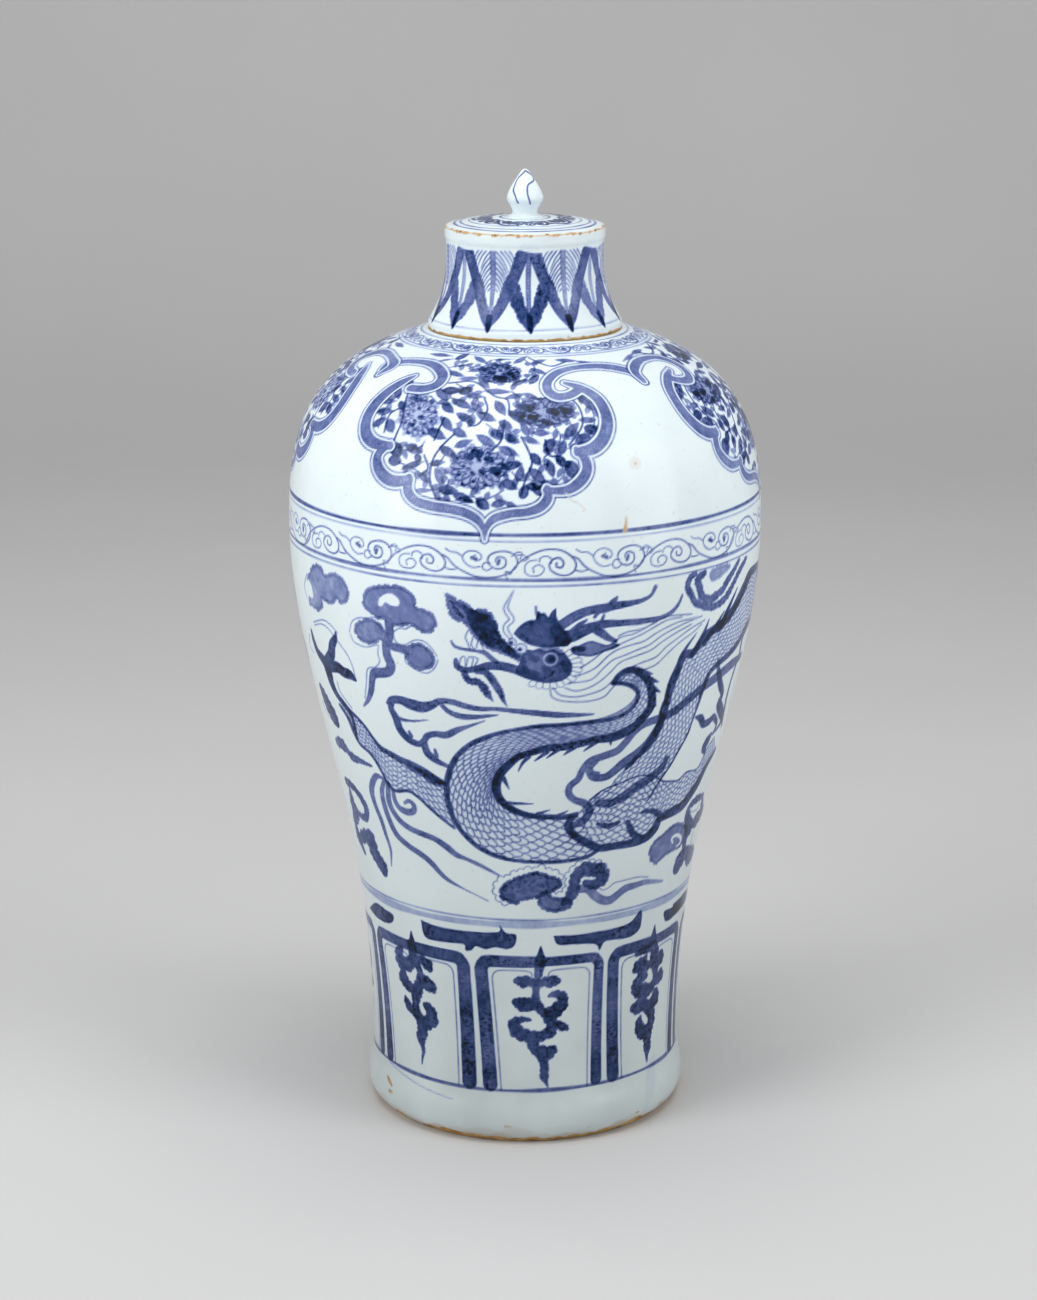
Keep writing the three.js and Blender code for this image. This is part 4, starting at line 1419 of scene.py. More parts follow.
CLOUD_LINES = (
    ((348, 632), (350, 622), (356, 618), (365, 618), (371, 617)),
    ((349, 634), (352, 641), (358, 645), (366, 647), (374, 645), (378, 646)),
    ((377, 648), (377, 655), (379, 661), (375, 667), (367, 669), (366, 684), (365, 698)),
    ((391, 636), (393, 631), (399, 628), (404, 629), (409, 626)),
    ((392, 634), (394, 641), (400, 645), (406, 644), (411, 641), (418, 640), (425, 643), (431, 649),
     (436, 656)),
    ((404, 655), (405, 662), (411, 667), (418, 671), (427, 673), (434, 668), (437, 660)),
    ((601, 886), (606, 890), (612, 888), (618, 883), (625, 881), (633, 879), (642, 877), (652, 877)),
    ((304, 574), (302, 586), (305, 598)),
    ((322, 700), (326, 710), (331, 719)),
    ((696, 802), (693, 812), (700, 808), (702, 800)),
    ((696, 832), (694, 842), (695, 848)),
)


CLOUD_SCALLOPS = (
    ((512, 904), (505, 901), (501, 896), (499, 889), (501, 882), (506, 878), (512, 877), (518, 873),
     (525, 871), (531, 869), (538, 870), (544, 867), (550, 870), (556, 871), (562, 874), (566, 880)),
    ((553, 893), (560, 895), (567, 892), (571, 885), (571, 876), (576, 869), (582, 864), (589, 861),
     (597, 862), (603, 863), (609, 868), (611, 875)),
)


def paint_sky(wall):
    for area, strength in zip(CLOUD_AREAS, CLOUD_STRENGTHS):
        wash(wall, area, strength=strength, rim=0.34, pool=1.5, lobes=1.8)
    wash(wall, *CLOUD_HOLES, strength=0.0, rim=0.0)
    thin(wall, *CLOUD_LINES, strength=0.5)
    scalloped(wall, *CLOUD_SCALLOPS)
    for strength, rim in ((0.0, 0.0), (0.7, 0.3)):
        draw(wall, *CLOUD_STROKES[:2], strength=strength, rim=rim)
    draw(wall, CLOUD_CURL, strength=0.0, rim=0.0)
    knobbed(wall, *CLOUD_STROKES[2:])
    draw(wall, CLOUD_TRAIL, strength=0.62, rim=0.4)
    knobbed(wall, *PEARL, strength=0.8)
    wash(wall, PEARL_HEART, strength=0.5, lobes=1.8)
    draw(wall, *FLAME, strength=0.84, rim=0.3)


# Painting: what the kiln and time left, as photograph points
RUST = (
    ((622.6, 517, 1.2), (622.3, 524, 2.4), (621.6, 530.5, 4.6)), ((631.4, 463.5, 2.6), (631.6, 463.5, 2.6)),
)
RUST_HALO = ((631, 463, 12), (631.5, 463, 12))
CRACK = ((562, 493), (567, 500), (574, 503), (582, 510))
SMEAR = ((668, 1062, 8), (664, 1080, 12), (658, 1096, 10), (652, 1112, 5))
# A chip and a thin painted line at the left of the foot, as degrees round, height and width
FOOT_CHIP = ((-61, 19.5, 0.9), (-59, 18, 1.6), (-57, 16.5, 0.9))
FOOT_LINE = ((-62, 27, 0.5), (-50, 24.5, 0.6), (-40, 22.5, 0.6), (-27, 20.6, 0.5))
# Bare clay at the foot ring: how far it reaches up, its depth, the spots beside it and a seed
FOOT_FRAYS = ((15.0, 0.08, 30, 12), (12.0, 0.2, 20, 13), (9.8, 1.0, 60, 11))
# The small scroll on the shoulder below the cover, as places along
SEAT_SCROLL_LOW = 419.0
SEAT_SCROLL_HIGH = 428.5
SEAT_SCROLL_REPEATS = 15
SEAT_RINGS = ((SEAT_SCROLL_LOW, 0.8), (SEAT_SCROLL_LOW - 1.9, 0.7), (SEAT_SCROLL_HIGH, 0.8))


def stain(wall, *lines, depth=0.3):
    """Lays a stain of rust, or bare clay where it is deep."""
    for line in lines:
        wall.lay(line)
    if wall.spread is None:
        return
    rows = slice(*wall.spread)
    wall.bare[rows] = np.maximum(wall.bare[rows], wall.layer[rows] * depth)
    wall.fire(0)


def frayed_edge(wall, along, width, depth, spots, seed):
    """A ring of bare clay with a frayed edge, and single spots beside it."""
    random = np.random.default_rng(seed)
    angles = np.linspace(-math.pi, math.pi, 481)
    fray = 1 + 0.3 * np.interp(angles, angles[::4], random.normal(0, 1, 121))
    fray[-1] = fray[0]
    ring = np.column_stack([angles, np.full(len(angles), along), np.clip(width * fray, 0.1, None)])
    stain(wall, ring, depth=depth)
    for _ in range(spots):
        angle, reach = random.uniform(-math.pi, math.pi), random.uniform(0.004, 0.05)
        high = max(along + random.normal(0, width * 0.5), 0.2)
        thick = random.uniform(0.5, 1.5)
        line = ((angle, high, thick), (angle + reach, high, thick * 0.6))
        stain(wall, line, depth=random.uniform(0.3, 1))


def on_foot(wall, points):
    """Points given as degrees round, height and width, as a smooth line."""
    return smooth([(math.radians(turn), wall.at_height(height), width) for turn, height, width in points])


def paint_age(wall):
    stain(wall, *(wall.path(line) for line in RUST), depth=0.44)
    stain(wall, wall.path(RUST_HALO), depth=0.08)
    stain(wall, even(wall.path(CRACK), 0.5), depth=0.2)
    stain(wall, on_foot(wall, FOOT_CHIP), depth=0.8)
    draw(wall, SMEAR, strength=0.05)
    wall.lay(on_foot(wall, FOOT_LINE))
    wall.fire(0.3)
    for width, depth, spots, seed in FOOT_FRAYS:
        frayed_edge(wall, 0.0, width, depth, spots, seed)


def paint_body(wall):
    paint_rings(wall)
    unit = scroll_unit(wall)
    low, high = wall.at_height(SCROLL_LOW) + 0.6, wall.at_height(SCROLL_HIGH) - 0.6
    running_scroll(wall, unit, low, high, SCROLL_REPEATS, 0.75, 0.6)
    low, high = SEAT_SCROLL_LOW + 0.8, SEAT_SCROLL_HIGH - 0.8
    running_scroll(wall, unit, low, high, SEAT_SCROLL_REPEATS, 0.85, 0.62)
    for number, (along, width) in enumerate(SEAT_RINGS):
        wall.ring(along, width, 0.5, seed=number + 9)
    paint_collar(wall)
    paint_panels(wall)
    for turned in BACK_AND_FRONT:
        wall.turned = turned
        paint_sky(wall)
        paint_dragon_body(wall)
        paint_dragon_head(wall)
    paint_age(wall)


# Painting: the cover and its knob, with degrees round and millimetres along
COVER_LEAVES = 7
COVER_LEAF_TURN = 28.4
LEAF_TOP = 42.6
LEAF_TIP = 6.2
LEAF_BORDER = 5.4
LEAF_HALF = 23.6
# A front leaf's border, by shares of the way from its top to its tip, with the width in millimetres
LEAF_SIDE = (
    (0.0, LEAF_BORDER), (0.3, LEAF_BORDER), (0.6, LEAF_BORDER), (0.85, LEAF_BORDER * 0.85), (1.0, 2.4),
)
LEAF_SIDE_TOP = 1.5
LEAF_SIDE_END = 1.2
# A rear leaf's border: degrees out from its middle, place along and width
REAR_SIDE = ((11.2, 27, 4.4), (9.4, 22, 5.0), (5.6, 15.5, 4.8), (2.2, 10, 4.0), (0.4, LEAF_TIP - 0.6, 1.2))
HATCH_LOW = 20
HATCH_START = 2.4
# Where strokes of the hatching start along the top, as degrees out
HATCH_TOP_STARTS = (5.4, 8.6, 11.8, 15.0)
HATCH_STEP = 2.5
HATCH_FALL = 9.0
HATCH_REACH = 8.5
HATCH_MARGIN = 4.2
# Strengths of the front leaves and of the rear ones between them, going round
FRONT_STRENGTHS = (0.8, 0.74, 0.62, 0.7, 0.74, 0.66, 0.7)
REAR_STRENGTHS = (0.66, 0.9, 0.62, 0.74, 0.7, 0.76, 0.62)
# Rings on the lid: radius, width and strength
LID_RINGS = ((33.6, 0.9, 0.75), (30.6, 0.9, 0.62), (26.4, 0.7, 0.5), (11.4, 1.0, 0.7))
LID_SCROLL = (13.4, 24.4)
LID_SCROLL_REPEATS = 5
KNOB_LINES = (
    ((530, 171), (535, 175), (537, 179.5), (532, 184), (530, 189), (530.3, 196), (532, 204)),
    ((529, 170.5), (522, 177.5), (517.5, 186), (516, 190), (517.5, 196), (520, 203)),
)


def mirrored(wall, middle, hand, shape):
    """A smooth line on one side of a leaf, from degrees out of its middle, places along and widths."""
    return round_back(wall, [(middle + hand * out, along, width) for out, along, width in shape])


def leaf_border(wall, middle, hand, shape, **knobbly):
    """One border of a leaf, with knobs where their sides and sizes are given."""
    path = mirrored(wall, middle, hand, shape)
    wall.lay(path, 0.35)
    if knobbly:
        knobs(wall, path, **knobbly)


def leaf_tip(wall, middle, width):
    """The dark point in which a leaf ends."""
    tip = [(middle, LEAF_TIP + 5, width), (middle + 0.3, LEAF_TIP, width * 0.85)]
    wall.lay(round_back(wall, [*tip, (middle + 0.5, LEAF_TIP - 2.2, 0.9)]))
    wall.fire(0.95)


def hatch(wall, middle, hand):
    """Herring-bone hatching on one side of a front leaf, as far as its border leaves room."""
    starts = [(HATCH_START, along) for along in np.arange(LEAF_TOP - 0.5, HATCH_LOW, -HATCH_STEP)]
    starts += [(reach, LEAF_TOP) for reach in HATCH_TOP_STARTS]
    for number, (reach, along) in enumerate(starts):
        far = reach + HATCH_REACH * (1 + 0.12 * math.sin(number * 2.1 + hand))
        room = LEAF_HALF * (along - HATCH_FALL * 0.7 - LEAF_TIP) / (LEAF_TOP - LEAF_TIP) - HATCH_MARGIN
        stop = min(room, far)
        if stop > reach + 1:
            fall = HATCH_FALL * (stop - reach) / HATCH_REACH
            bend = (reach + (stop - reach) * 0.55, along - fall * 0.42, 0.66)
            wall.lay(mirrored(wall, middle, hand, [(reach, along, 0.7), bend, (stop, along - fall, 0.3)]))


def paint_leaf(wall, middle, strength):
    """A front leaf of the cover: two borders that meet in a dark tip, a midrib and herring-bone hatching."""
    shape = []
    for share, width in LEAF_SIDE:
        out = LEAF_HALF * (1 - share) + LEAF_SIDE_END * share
        shape.append((out, LEAF_TOP + LEAF_SIDE_TOP + share * (LEAF_TIP - LEAF_TOP), width))
    for hand in (-1, 1):
        leaf_border(wall, middle, hand, shape)
    wall.fire(0.0)
    for hand in (-1, 1):
        leaf_border(wall, middle, hand, shape, sides=(-hand,), reach=0.34, size=0.5)
    wall.fire(strength)
    wall.lay(round_back(wall, [(middle - 0.5, LEAF_TOP, 2.9), (middle, 28, 2.5), (middle, 14, 1.5)]), 0.5)
    wall.fire(strength)
    leaf_tip(wall, middle, 3.2)
    for hand in (-1, 1):
        hatch(wall, middle, hand)
    wall.fire(0.6)


def paint_rear_leaf(wall, middle, strength):
    """A leaf behind two front ones: its borders show below their crossing, with a midrib between."""
    for hand in (-1, 1):
        leaf_border(wall, middle, hand, REAR_SIDE, sides=(-1, 1), reach=0.38, size=0.52)
    wall.fire(strength)
    wall.lay(round_back(wall, [(middle, LEAF_TOP - 3, 2.3), (middle - 0.4, 26, 2.3), (middle, 12, 1.8)]), 0.5)
    wall.fire(strength * 0.9)
    leaf_tip(wall, middle + 0.3, 3.0)


def paint_cover(wall):
    turn = 360 / COVER_LEAVES
    for number in range(COVER_LEAVES):
        paint_rear_leaf(wall, COVER_LEAF_TURN + (number - 1.5) * turn, REAR_STRENGTHS[number])
    for number in range(COVER_LEAVES):
        paint_leaf(wall, COVER_LEAF_TURN + (number - 1) * turn, FRONT_STRENGTHS[number])
    wall.ring(LEAF_TOP + 3.4, 6.6, 0.0, wander=0.15)
    wall.ring(5.2, 0.7, 0.32)
    middle = wall.along[-1]
    for number, (radius, width, strength) in enumerate(LID_RINGS):
        wall.ring(middle - radius, width, strength, seed=number)
    unit = scroll_unit(Wall(body_outline(), 1, 240))
    inner, outer = LID_SCROLL
    running_scroll(wall, unit, middle - outer, middle - inner, LID_SCROLL_REPEATS, 1.5, 0.9)
    frayed_edge(wall, 0.0, 1.7, 1.0, 20, 3)
    edge = wall.at_height(COVER_EDGE)
    frayed_edge(wall, edge - 0.9, 0.7, 0.34, 150, 5)
    frayed_edge(wall, edge - 1.3, 0.0, 1.0, 46, 8)


def paint_knob(wall):
    for turned in BACK_AND_FRONT:
        wall.turned = turned
        thin(wall, *KNOB_LINES, width=0.8, strength=0.6)


# Nodes
def put(socket, value):
    """Sets an input, or links it where the value is another node's output."""
    if isinstance(value, bpy.types.NodeSocket):
        socket.id_data.links.new(value, socket)
    elif isinstance(value, tuple) and len(value) == 3 and socket.type == "RGBA":
        socket.default_value = (*value, 1)
    else:
        socket.default_value = value


def operate(node, operation, *values):
    """Sets a node's operation and its inputs in order, and gives its output."""
    node.operation = operation
    for socket, value in zip(node.inputs, values):
        put(socket, value)
    return node.outputs[0]


# Meshes
TREE_NAME = "Turned Surface"
SHARP_ANGLE = math.radians(40)


def turning_tree():
    """A node tree that turns an outline about Z into a closed surface."""
    tree = bpy.data.node_groups.new(TREE_NAME, "GeometryNodeTree")
    face = tree.interface
    face.new_socket("Outline", in_out="INPUT", socket_type="NodeSocketGeometry")
    columns = face.new_socket("Columns", in_out="INPUT", socket_type="NodeSocketInt")
    weld = face.new_socket("Weld Distance", in_out="INPUT", socket_type="NodeSocketFloat")
    face.new_socket("Finish", in_out="INPUT", socket_type="NodeSocketMaterial")
    face.new_socket("Surface", in_out="OUTPUT", socket_type="NodeSocketGeometry")
    columns.default_value = 96
    columns.min_value = 8
    weld.default_value = 0.00001
    node = tree.nodes.new
    link = tree.links.new
    given = node("NodeGroupInput")
    made = node("NodeGroupOutput")

    def whole(operation, a, b):
        return operate(node("FunctionNodeIntegerMath"), operation, a, b)

    def maths(operation, *values):
        return operate(node("ShaderNodeMath"), operation, *values)

    size = node("GeometryNodeAttributeDomainSize")
    size.component = "MESH"
    link(given.outputs["Outline"], size.inputs[0])
    rounds = whole("ADD", given.outputs["Columns"], 1)
    grid = node("GeometryNodeMeshGrid")
    link(size.outputs["Point Count"], grid.inputs["Vertices X"])
    link(rounds, grid.inputs["Vertices Y"])
    index = node("GeometryNodeInputIndex").outputs[0]
    row = whole("DIVIDE_FLOOR", index, rounds)
    column = whole("MODULO", index, rounds)

    def taken(kind, socket):
        sample = node("GeometryNodeSampleIndex")
        sample.data_type = kind
        sample.domain = "POINT"
        link(given.outputs["Outline"], sample.inputs["Geometry"])
        link(socket, sample.inputs["Value"])
        link(row, sample.inputs["Index"])
        return sample.outputs[0]

    place = node("ShaderNodeSeparateXYZ")
    link(taken("FLOAT_VECTOR", node("GeometryNodeInputPosition").outputs[0]), place.inputs[0])
    share = maths("DIVIDE", column, given.outputs["Columns"])
    angle = maths("MULTIPLY_ADD", share, 2 * math.pi, -math.pi)
    turned = node("ShaderNodeCombineXYZ")
    link(maths("MULTIPLY", place.outputs["X"], maths("SINE", angle)), turned.inputs["X"])
    back = maths("MULTIPLY", place.outputs["X"], maths("COSINE", angle))
    link(maths("MULTIPLY", back, -1.0), turned.inputs["Y"])
    link(place.outputs["Z"], turned.inputs["Z"])
    moved = node("GeometryNodeSetPosition")
    link(grid.outputs["Mesh"], moved.inputs["Geometry"])
    link(turned.outputs[0], moved.inputs["Position"])
    surface = moved.outputs[0]
    for name in ("along", "unglazed"):
        read = node("GeometryNodeInputNamedAttribute")
        read.data_type = "FLOAT"
        read.inputs["Name"].default_value = name
        store = node("GeometryNodeStoreNamedAttribute")
        store.data_type = "FLOAT"
        store.domain = "POINT"
        store.inputs["Name"].default_value = name
        link(surface, store.inputs["Geometry"])
        link(taken("FLOAT", read.outputs[0]), store.inputs["Value"])
        surface = store.outputs[0]
    merge = node("GeometryNodeMergeByDistance")
    link(surface, merge.inputs["Geometry"])
    link(given.outputs["Weld Distance"], merge.inputs["Distance"])
    flip = node("GeometryNodeFlipFaces")
    link(merge.outputs[0], flip.inputs[0])
    real = node("GeometryNodeRealizeInstances")
    link(flip.outputs[0], real.inputs[0])
    dress = node("GeometryNodeSetMaterial")
    link(real.outputs[0], dress.inputs["Geometry"])
    link(given.outputs["Finish"], dress.inputs["Material"])
    link(dress.outputs[0], made.inputs[0])
    return tree


def turned_piece(name, before, outside, after, columns, finish, painted=None):
    """A closed piece turned from its outline in millimetres. What comes before the outside is bare clay.

    The outline keeps the material on its left, and either closes on itself or runs from axis to axis."""
    before = np.reshape(np.asarray(before, float), (-1, 2))
    after = np.reshape(np.asarray(after, float), (-1, 2))
    outline = np.vstack([before, outside, after])
    count = len(outline)
    along = np.full(count, -1.0)
    if painted is not None:
        along[len(before) : len(before) + len(outside)] = painted
        if np.allclose(outline[-1], outside[0]):
            along[-1] = painted[0]
    unglazed = np.zeros(count)
    unglazed[: len(before)] = 1.0
    line = bpy.data.meshes.new(name + "_outline")
    points = np.column_stack([outline[:, 0], np.zeros(count), outline[:, 1]]) * MM
    line.from_pydata(points.tolist(), [(i, i + 1) for i in range(count - 1)], [])
    for label, values in (("along", along), ("unglazed", unglazed)):
        attribute = line.attributes.new(label, "FLOAT", "POINT")
        attribute.data.foreach_set("value", values.astype(np.float32))
    piece = bpy.data.objects.new(name, line)
    bpy.context.scene.collection.objects.link(piece)
    tree = bpy.data.node_groups.get(TREE_NAME) or turning_tree()
    sockets = {item.name: item.identifier for item in tree.interface.items_tree}
    modifier = piece.modifiers.new("Turned", "NODES")
    modifier.node_group = tree
    modifier[sockets["Columns"]] = columns
    modifier[sockets["Weld Distance"]] = MM / 1000
    modifier[sockets["Finish"]] = finish
    depsgraph = bpy.context.evaluated_depsgraph_get()
    made = bpy.data.meshes.new_from_object(piece.evaluated_get(depsgraph))
    made.name = name
    piece.modifiers.remove(modifier)
    piece.data = made
    bpy.data.meshes.remove(line)
    made.shade_smooth()
    made.set_sharp_from_angle(angle=SHARP_ANGLE)
    return piece


def take_painting(piece, wall=None):
    """Gives each point of a turned piece the painting and the bare clay of the wall where it lies."""
    mesh = piece.data
    count = len(mesh.vertices)
    place = np.empty(count * 3, np.float32)
    mesh.vertices.foreach_get("co", place)
    place = place.reshape(-1, 3)
    along = np.empty(count, np.float32)
    mesh.attributes["along"].data.foreach_get("value", along)
    bare = np.empty(count, np.float32)
    mesh.attributes["unglazed"].data.foreach_get("value", bare)
    cobalt = np.zeros(count)
    if wall is not None:
        shown = along >= 0
        row = np.clip(np.rint(along[shown] / wall.cell).astype(int), 0, wall.rows - 1)
        angle = np.arctan2(place[shown, 0], -place[shown, 1])
        column = np.rint((angle + math.pi) / wall.turn).astype(int) % wall.columns
        cobalt[shown] = wall.cobalt[row, column]
        bare[shown] = np.maximum(bare[shown], wall.bare[row, column])
    for label, values in (("cobalt", cobalt), ("bare", bare)):
        attribute = mesh.attributes.new(label, "FLOAT", "POINT")
        attribute.data.foreach_set("value", values.astype(np.float32))
    mesh.attributes.remove(mesh.attributes["along"])
    mesh.attributes.remove(mesh.attributes["unglazed"])


def finish_piece(piece, body, slot, *nodes):
    """Gives a piece its body and hides the nodes that it replaces. The slot is not used."""
    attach(piece, body)
    if nodes:
        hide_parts(*nodes)


# Materials
class Shading:
    """Shorthand for building a material's nodes. Noise scales are features to a metre."""

    def __init__(self, name):
        self.material = bpy.data.materials.new(name)
        self.material.use_nodes = True
        self.nodes = self.material.node_tree.nodes
        self.shader = self.nodes["Principled BSDF"]
        self.place = self.nodes.new("ShaderNodeTexCoord").outputs["Object"]

    def maths(self, operation, *values, clamp=False):
        node = self.nodes.new("ShaderNodeMath")
        node.use_clamp = clamp
        return operate(node, operation, *values)

    def noise(self, scale, detail=2.0, roughness=0.5, distortion=0.0):
        node = self.nodes.new("ShaderNodeTexNoise")
        put(node.inputs["Vector"], self.place)
        put(node.inputs["Scale"], scale)
        put(node.inputs["Detail"], detail)
        put(node.inputs["Roughness"], roughness)
        put(node.inputs["Distortion"], distortion)
        return node.outputs["Fac"]

    def attribute(self, name):
        node = self.nodes.new("ShaderNodeAttribute")
        node.attribute_name = name
        return node.outputs["Fac"]

    def spread(self, value, low, high, start=0.0, end=1.0):
        node = self.nodes.new("ShaderNodeMapRange")
        for socket, number in zip(node.inputs, (value, low, high, start, end)):
            put(socket, number)
        return node.outputs[0]

    def blend(self, share, a, b, kind="MIX"):
        node = self.nodes.new("ShaderNodeMix")
        node.data_type = "RGBA"
        node.blend_type = kind
        put(node.inputs[0], share)
        put(node.inputs[6], a)
        put(node.inputs[7], b)
        return node.outputs[2]

    def ramp(self, value, stops):
        node = self.nodes.new("ShaderNodeValToRGB")
        band = node.color_ramp
        while len(band.elements) < len(stops):
            band.elements.new(0.5)
        for element, (position, colour) in zip(band.elements, stops):
            element.position = position
            element.color = (*colour, 1)
        put(node.inputs[0], value)
        return node.outputs["Color"]

    def bump(self, height, strength, distance, under=None):
        node = self.nodes.new("ShaderNodeBump")
        put(node.inputs["Strength"], strength)
        put(node.inputs["Distance"], distance)
        put(node.inputs["Height"], height)
        if under is not None:
            put(node.inputs["Normal"], under)
        return node.outputs[0]


def linear(red, green, blue):
    """A colour given as it shows on a screen, 0 to 255, as the shader wants it."""
    values = (v / 255 for v in (red, green, blue))
    return tuple(v / 12.92 if v <= 0.04045 else ((v + 0.055) / 1.055) ** 2.4 for v in values)


def glaze(name):
    """Bluish white glaze over cobalt painting, with burnt bare clay where the glaze stops."""
    look = bpy.context.scene.vase_colours
    s = Shading(name)
    height = s.nodes.new("ShaderNodeSeparateXYZ")
    put(height.inputs[0], s.place)
    # The glaze grades from the foot up to the shoulder: partly its own tone, partly painted shade towards the
    # foot and painted light towards the shoulder
    rise = s.spread(height.outputs["Z"], WAIST_HEIGHT * MM, BELLY_HEIGHT * MM)
    ground = s.blend(rise, tuple(look.lower_glaze_and_shade), tuple(look.upper_glaze_and_light))
    cloud = s.spread(s.noise(14, 4, 0.55), 0.35, 0.7)
    ground = s.blend(s.maths("MULTIPLY", cloud, 0.5), ground, tuple(look.glaze_shade))
    fleck = s.spread(s.noise(420, 3, 0.6), 0.64, 0.74)
    ground = s.blend(s.maths("MULTIPLY", fleck, 0.35), ground, linear(170, 170, 150))
    cobalt = s.attribute("cobalt")
    pools = s.spread(s.noise(48, 3, 0.55), 0.3, 0.7, 0.84, 1.14)
    wash = s.spread(s.noise(260, 4, 0.6), 0.3, 0.7, 0.84, 1.14)
    density = s.maths("MULTIPLY", s.maths("MULTIPLY", cobalt, wash), pools)
    heap = s.spread(s.noise(520, 3, 0.6), 0.5, 0.64)
    patch = s.spread(s.noise(60, 2, 0.5), 0.44, 0.62)
    heaped = s.maths("MULTIPLY", s.maths("MULTIPLY", heap, patch), s.spread(cobalt, 0.5, 0.9, 0, 0.45))
    density = s.maths("ADD", density, heaped, clamp=True)
    stops = (
        (0.0, linear(255, 255, 255)),
        (0.2, linear(205, 211, 240)),
        (0.45, linear(125, 133, 184)),
        (0.65, linear(76, 89, 144)),
        (0.8, linear(34, 60, 110)),
        (0.92, linear(4, 36, 80)),
        (1.0, linear(0, 14, 42)),
    )
    colour = s.blend(1.0, ground, s.ramp(density, stops), "MULTIPLY")
    bare = s.attribute("bare")
    colour = s.blend(s.spread(bare, 0, 0.45, 0, 0.8), colour, tuple(look.rust), "MULTIPLY")
    ragged = s.spread(s.noise(300, 4, 0.6), 0.3, 0.7, -0.35, 0.35)
    gone = s.spread(s.maths("ADD", bare, s.maths("MULTIPLY", ragged, s.spread(bare, 0.3, 0.6))), 0.5, 0.6)
    burnt = s.ramp(s.noise(160, 4, 0.6), ((0.3, tuple(look.burnt_clay)), (0.7, tuple(look.bare_clay))))
    put(s.shader.inputs["Base Color"], s.blend(gone, colour, burnt))
    rough = s.spread(s.noise(35, 3, 0.5), 0.3, 0.7, 0.13, 0.24)
    put(s.shader.inputs["Roughness"], s.maths("ADD", rough, s.maths("MULTIPLY", gone, 0.5)))
    orange_peel = s.bump(s.noise(110, 2, 0.4), 0.25, 0.0004)
    put(s.shader.inputs["Normal"], s.bump(s.noise(30, 2, 0.4), 0.3, 0.0012, orange_peel))
    s.shader.inputs["IOR"].default_value = 1.5
    s.shader.inputs["Specular IOR Level"].default_value = 0.2
    return s.material


def bare_porcelain(name):
    """Unglazed clay, rough and a little warmer in patches."""
    look = bpy.context.scene.vase_colours
    s = Shading(name)
    tone = s.ramp(s.noise(90, 5, 0.6), ((0.3, tuple(look.bare_clay)), (0.7, linear(214, 202, 182))))
    put(s.shader.inputs["Base Color"], tone)
    put(s.shader.inputs["Roughness"], s.spread(s.noise(300, 3, 0.6), 0.3, 0.7, 0.62, 0.85))
    put(s.shader.inputs["Normal"], s.bump(s.noise(900, 3, 0.6), 0.4, 0.0002))
    return s.material


# What a user can change
class VaseSizes(bpy.types.PropertyGroup):
    cell: FloatProperty(
        name="Painting Cell",
        description="Distance between neighbouring points of the painted surface",
        default=0.65 * MM,
        min=0.3 * MM,
        subtype="DISTANCE",
        unit="LENGTH",
    )
    body_columns: IntProperty(
        name="Body Columns", description="Points round the body", default=1080, min=48
    )
    cover_columns: IntProperty(
        name="Cover Columns", description="Points round the cover", default=480, min=48
    )


class VaseColours(bpy.types.PropertyGroup):
    # Glaze colour on the shoulder, lightened partly with painted light from above
    upper_glaze_and_light: FloatVectorProperty(
        name="Upper Glaze",
        description="Glaze on the shoulder",
        default=linear(227, 239, 243),
        subtype="COLOR",
        min=0,
        max=1,
    )
    # Glaze colour near the foot, greyed partly with painted shade
    lower_glaze_and_shade: FloatVectorProperty(
        name="Lower Glaze",
        description="Glaze near the foot",
        default=linear(170, 179, 180),
        subtype="COLOR",
        min=0,
        max=1,
    )
    glaze_shade: FloatVectorProperty(
        name="Glaze Shade",
        description="Greyer clouds in the glaze",
        default=linear(206, 217, 218),
        subtype="COLOR",
        min=0,
        max=1,
    )
    burnt_clay: FloatVectorProperty(
        name="Burnt Clay",
        description="Clay burnt orange where the glaze stops",
        default=linear(122, 82, 34),
        subtype="COLOR",
        min=0,
        max=1,
    )
    rust: FloatVectorProperty(
        name="Rust",
        description="Stains in the glaze",
        default=linear(214, 146, 58),
        subtype="COLOR",
        min=0,
        max=1,
    )
    bare_clay: FloatVectorProperty(
        name="Bare Clay",
        description="Unglazed porcelain",
        default=linear(196, 164, 104),
        subtype="COLOR",
        min=0,
        max=1,
    )


class VaseStage(bpy.types.PropertyGroup):
    floor: FloatVectorProperty(
        name="Floor",
        description="Colour of the floor and backdrop",
        default=(0.6, 0.6, 0.6),
        subtype="COLOR",
        min=0,
        max=1,
    )
    sky: FloatProperty(
        name="Surrounding Light", description="Strength of the even light all round", default=0.3, min=0
    )


# Operators
class VASE_OT_body(bpy.types.Operator):
    """Turn and paint the body in bands from the foot to the neck"""

    bl_idname = "vase.body"
    bl_label = "Body"

    def execute(self, context):
        sizes = context.scene.vase_sizes
        wall = Wall(body_outline(), sizes.cell / MM, sizes.body_columns)
        paint_body(wall)
        material = glaze("painted_glaze")
        edges = np.linspace(0, wall.rows - 1, BODY_BANDS + 1).astype(int)
        for number, (first, last) in enumerate(zip(edges, edges[1:])):
            rows = slice(first, last + 1)
            outside = np.column_stack([wall.radius[rows], wall.height[rows]])
            before, after = [], inner_wall(outside)
            if number == 0:
                before, after = underside(), np.vstack([after, floor_inside()])
            elif last == wall.rows - 1:
                after = np.vstack([mouth_edge(), after, outside[:1]])
            else:
                after = np.vstack([after, outside[:1]])
            name = f"body_band_{number + 1}"
            piece = turned_piece(name, before, outside, after, wall.columns, material, wall.along[rows])
            take_painting(piece, wall)
            finish_piece(piece, "vase", "body_glaze", *BAND_NODES.get(number, ()))
        return {"FINISHED"}


